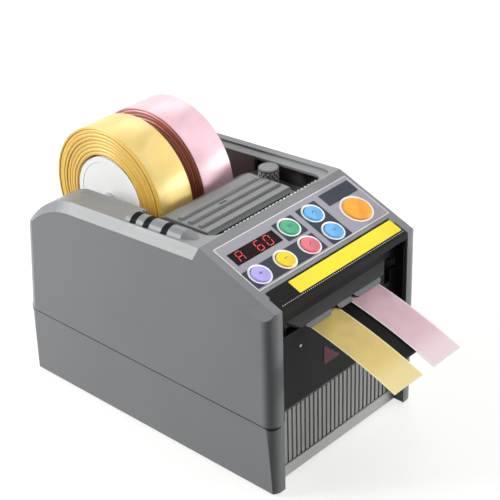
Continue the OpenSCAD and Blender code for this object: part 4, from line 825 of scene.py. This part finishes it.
def knurled_knob():
    """Knob with rows of small raised blocks round its side and a smooth, slightly hollow top."""
    low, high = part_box("pressure_knob")
    axis = joints["knob_turn"]["pos_m"]
    r = (high.x - low.x) / 2
    base = axis[2] + 0.1 * MM
    top = high.z
    around, teeth, depth = 240, 14, 0.7 * MM
    rows, row_steps, stem_r = 5, 6, 2.5 * MM
    grip_low, grip_high = base + 0.4 * MM, top - 1.5 * MM

    def at(radius, i, z):
        turn = math.tau * i / around
        return Vector((axis[0] + radius * math.cos(turn), axis[1] + radius * math.sin(turn), z))

    def circle(radius, z):
        return [at(radius, i, z) for i in range(around)]

    rings = [circle(stem_r, low.z), circle(stem_r, base), circle(r - 0.8 * MM, base)]
    for k in range(rows * row_steps + 1):
        up = k / row_steps
        z = grip_low + (grip_high - grip_low) * up / rows
        in_row = 0.15 < up % 1 < 0.85
        ring_line = []
        for i in range(around):
            along = (i / around * teeth + 0.5 * (int(up) % 2)) % 1
            radius = r if in_row and 0.15 < along < 0.85 else r - depth
            ring_line.append(at(radius, i, z))
        rings.append(ring_line)
    for inset, rise in ((0.7, 0.25), (0.0, 0.45)):
        rings.append(circle(r - inset * MM, grip_high + rise * MM))
    for inset, drop in ((0.0, 0.7), (0.3, 0.2), (0.9, 0.0), (1.5, 0.1), (3.0, 0.3)):
        rings.append(circle(r - inset * MM, top - drop * MM))
    piece = new_piece("knob_grip", *loops(rings), finish["dark_plastic"], "knob", "dark_plastic", 50)
    piece.data.materials.append(knob_block_highlight)
    # The raised blocks take the pale grey: painted highlight on the knurl.
    for face in piece.data.polygons:
        corners = [piece.data.vertices[i].co for i in face.vertices]
        nearest = min(math.hypot(c.x - axis[0], c.y - axis[1]) for c in corners)
        face.material_index = int(nearest > r - 0.1 * MM and face.center.z < grip_high)
    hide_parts("pressure_knob")


def cutter_finishes():
    """Fine upright lines on the cutter's black faces, a paler grey on the visor as painted light, and greyer lips
    and feed cover.
    """
    visor_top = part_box("panel_overlay")[0].z - 12 * MM
    for name in ("cutter_cover", "cutter_base"):
        mesh = nodes[name].data
        mesh.materials.clear()
        for material in (fluted_black, visor_painted_light):
            mesh.materials.append(material)
        for face in mesh.polygons:
            # Faces that tilt up and forward below the hood take the paler grey: painted light where the visor
            # faces the lamps.
            tilted = face.normal.y < -0.3 and face.normal.z > 0.3
            face.material_index = int(tilted and face.center.z < visor_top)
    for name, material in (("outlet_lips", lip_steel), ("feed_cover", cover_grey)):
        nodes[name].data.materials.clear()
        nodes[name].data.materials.append(material)


def rim_finish():
    """A slightly glossier moulding along the slanted edges of the case's two rims, a touch paler as painted
    highlight.
    """
    rim_from, tilt = 57 * MM, 0.35
    mesh = nodes["upper_case"].data
    mesh.materials.append(rim_gloss_and_highlight)
    # These slanted faces take a glossier copy of the body plastic, a touch paler: painted highlight.
    for face in mesh.polygons:
        slanted = abs(face.normal.x) > tilt and face.normal.z > tilt
        face.material_index = int(slanted and abs(face.center.x) > rim_from)


def cad_finishes():
    """Every CAD node that still shows takes the finish of its slot."""
    for name, node in nodes.items():
        node.data.materials.clear()
        node.data.materials.append(finish[slot_of[name]])


# Studio

def camera():
    """The photograph's view: its place, direction, roll and long lens."""
    stand = (-0.5670, -0.53195, 0.5569)
    azimuth, elevation, roll = (math.radians(a) for a in (-46.96, 30.22, -1.72))
    back = Vector((math.sin(azimuth) * math.cos(elevation), -math.cos(azimuth) * math.cos(elevation),
                   math.sin(elevation)))
    level = Vector((0, 0, 1)).cross(back).normalized()
    upright = back.cross(level)
    right = level * math.cos(roll) + upright * math.sin(roll)
    up = upright * math.cos(roll) - level * math.sin(roll)
    data = bpy.data.cameras.new("photo_camera")
    data.lens = 113.26
    data.sensor_width = 36
    piece = bpy.data.objects.new("photo_camera", data)
    turned = Matrix((right, up, back)).transposed().to_4x4()
    piece.matrix_world = Matrix.Translation(stand) @ turned
    bpy.context.scene.collection.objects.link(piece)
    bpy.context.scene.camera = piece


def area_light(name, place, target, size, power, spread=180, in_gloss=True):
    data = bpy.data.lights.new(name, "AREA")
    data.energy = power
    data.spread = math.radians(spread)
    data.shape = "RECTANGLE"
    data.size, data.size_y = size
    light = bpy.data.objects.new(name, data)
    light.visible_glossy = in_gloss
    light.location = place
    light.rotation_euler = (Vector(target) - Vector(place)).to_track_quat("-Z", "Y").to_euler()
    bpy.context.scene.collection.objects.link(light)


def seen(tree):
    """1 for rays that show the background itself: the camera's, and those in gloss and glass."""
    path = tree.nodes.new("ShaderNodeLightPath")
    total = path.outputs["Is Camera Ray"]
    for name in ("Is Glossy Ray", "Is Transmission Ray"):
        most = tree.nodes.new("ShaderNodeMath")
        most.operation = "MAXIMUM"
        tree.links.new(total, most.inputs[0])
        tree.links.new(path.outputs[name], most.inputs[1])
        total = most.outputs[0]
    return total


def between(tree, factor, low, high):
    """Number that goes from low to high with the factor."""
    span = tree.nodes.new("ShaderNodeMapRange")
    span.inputs["To Min"].default_value = low
    span.inputs["To Max"].default_value = high
    tree.links.new(factor, span.inputs["Value"])
    return span


def floor_finish():
    """Pale floor that glows a little to the camera, and throws less light back at the object."""
    material = bpy.data.materials.new("floor_pale")
    material.use_nodes = True
    tree = material.node_tree
    bsdf = tree.nodes["Principled BSDF"]
    bsdf.inputs["Roughness"].default_value = 0.9
    bsdf.inputs["Specular IOR Level"].default_value = 0.1
    bsdf.inputs["Emission Color"].default_value = (1, 1, 0.99, 1)
    shown = seen(tree)
    tree.links.new(between(tree, shown, 0.12, 0.35).outputs["Result"], bsdf.inputs["Base Color"])
    tree.links.new(between(tree, shown, 0.0, 0.72).outputs["Result"], bsdf.inputs["Emission Strength"])
    return material


def surroundings():
    """White to the camera; the light from it falls off towards the front left."""
    world = bpy.data.worlds.new("studio_world")
    bpy.context.scene.world = world
    world.use_nodes = True
    tree = world.node_tree
    background = tree.nodes["Background"]
    background.inputs["Color"].default_value = (1, 1, 0.99, 1)
    toward = tree.nodes.new("ShaderNodeVectorMath")
    toward.operation = "DOT_PRODUCT"
    toward.inputs[1].default_value = (-0.72, -0.67, 0.15)
    tree.links.new(tree.nodes.new("ShaderNodeTexCoord").outputs["Generated"], toward.inputs[0])
    fall = between(tree, toward.outputs["Value"], 0.6, 0.04)
    fall.inputs["From Min"].default_value = -0.15
    fall.inputs["From Max"].default_value = 0.5
    shown = between(tree, seen(tree), 0.0, 1.0)
    tree.links.new(fall.outputs["Result"], shown.inputs["To Min"])
    tree.links.new(shown.outputs["Result"], background.inputs["Strength"])


def studio():
    """Pale floor, pale surroundings and soft lamps."""
    floor_size = 6.0
    corners = [(-floor_size, -floor_size, 0), (floor_size, -floor_size, 0),
               (floor_size, floor_size, 0), (-floor_size, floor_size, 0)]
    mesh = bpy.data.meshes.new("floor")
    mesh.from_pydata(corners, [], [(0, 1, 2, 3)])
    floor = bpy.data.objects.new("floor", mesh)
    bpy.context.scene.collection.objects.link(floor)
    mesh.materials.append(floor_finish())
    surroundings()
    target = (0, 0.02, 0.09)
    area_light("back_left", (-0.82, 0.95, 0.78), target, (0.7, 0.5), 17.5)
    area_light("left", (-1.0, 1.15, 0.32), target, (0.8, 0.5), 9)
    area_light("back_right", (0.88, 0.78, 0.92), target, (0.6, 0.5), 3)
    area_light("overhead", (0.35, -0.6, 1.4), target, (0.9, 0.9), 6.5)
    area_light("right_front", (1.1, -1.1, 0.25), target, (0.9, 0.5), 15)
    area_light("rolls", (0.6, -0.8, 0.3), (0, 0.03, 0.13), (0.2, 0.06), 0.03, 6, in_gloss=False)


bpy.context.scene.view_settings.view_transform = "Standard"
camera()
studio()
cad_finishes()
rim_finish()
cutter_finishes()
ridge_slot_shade()
case_seam()
bay_details()
front_details()
front_sill()
panel_print()
button_marks()
display()
hood_strip()
tapes()
knurled_knob()
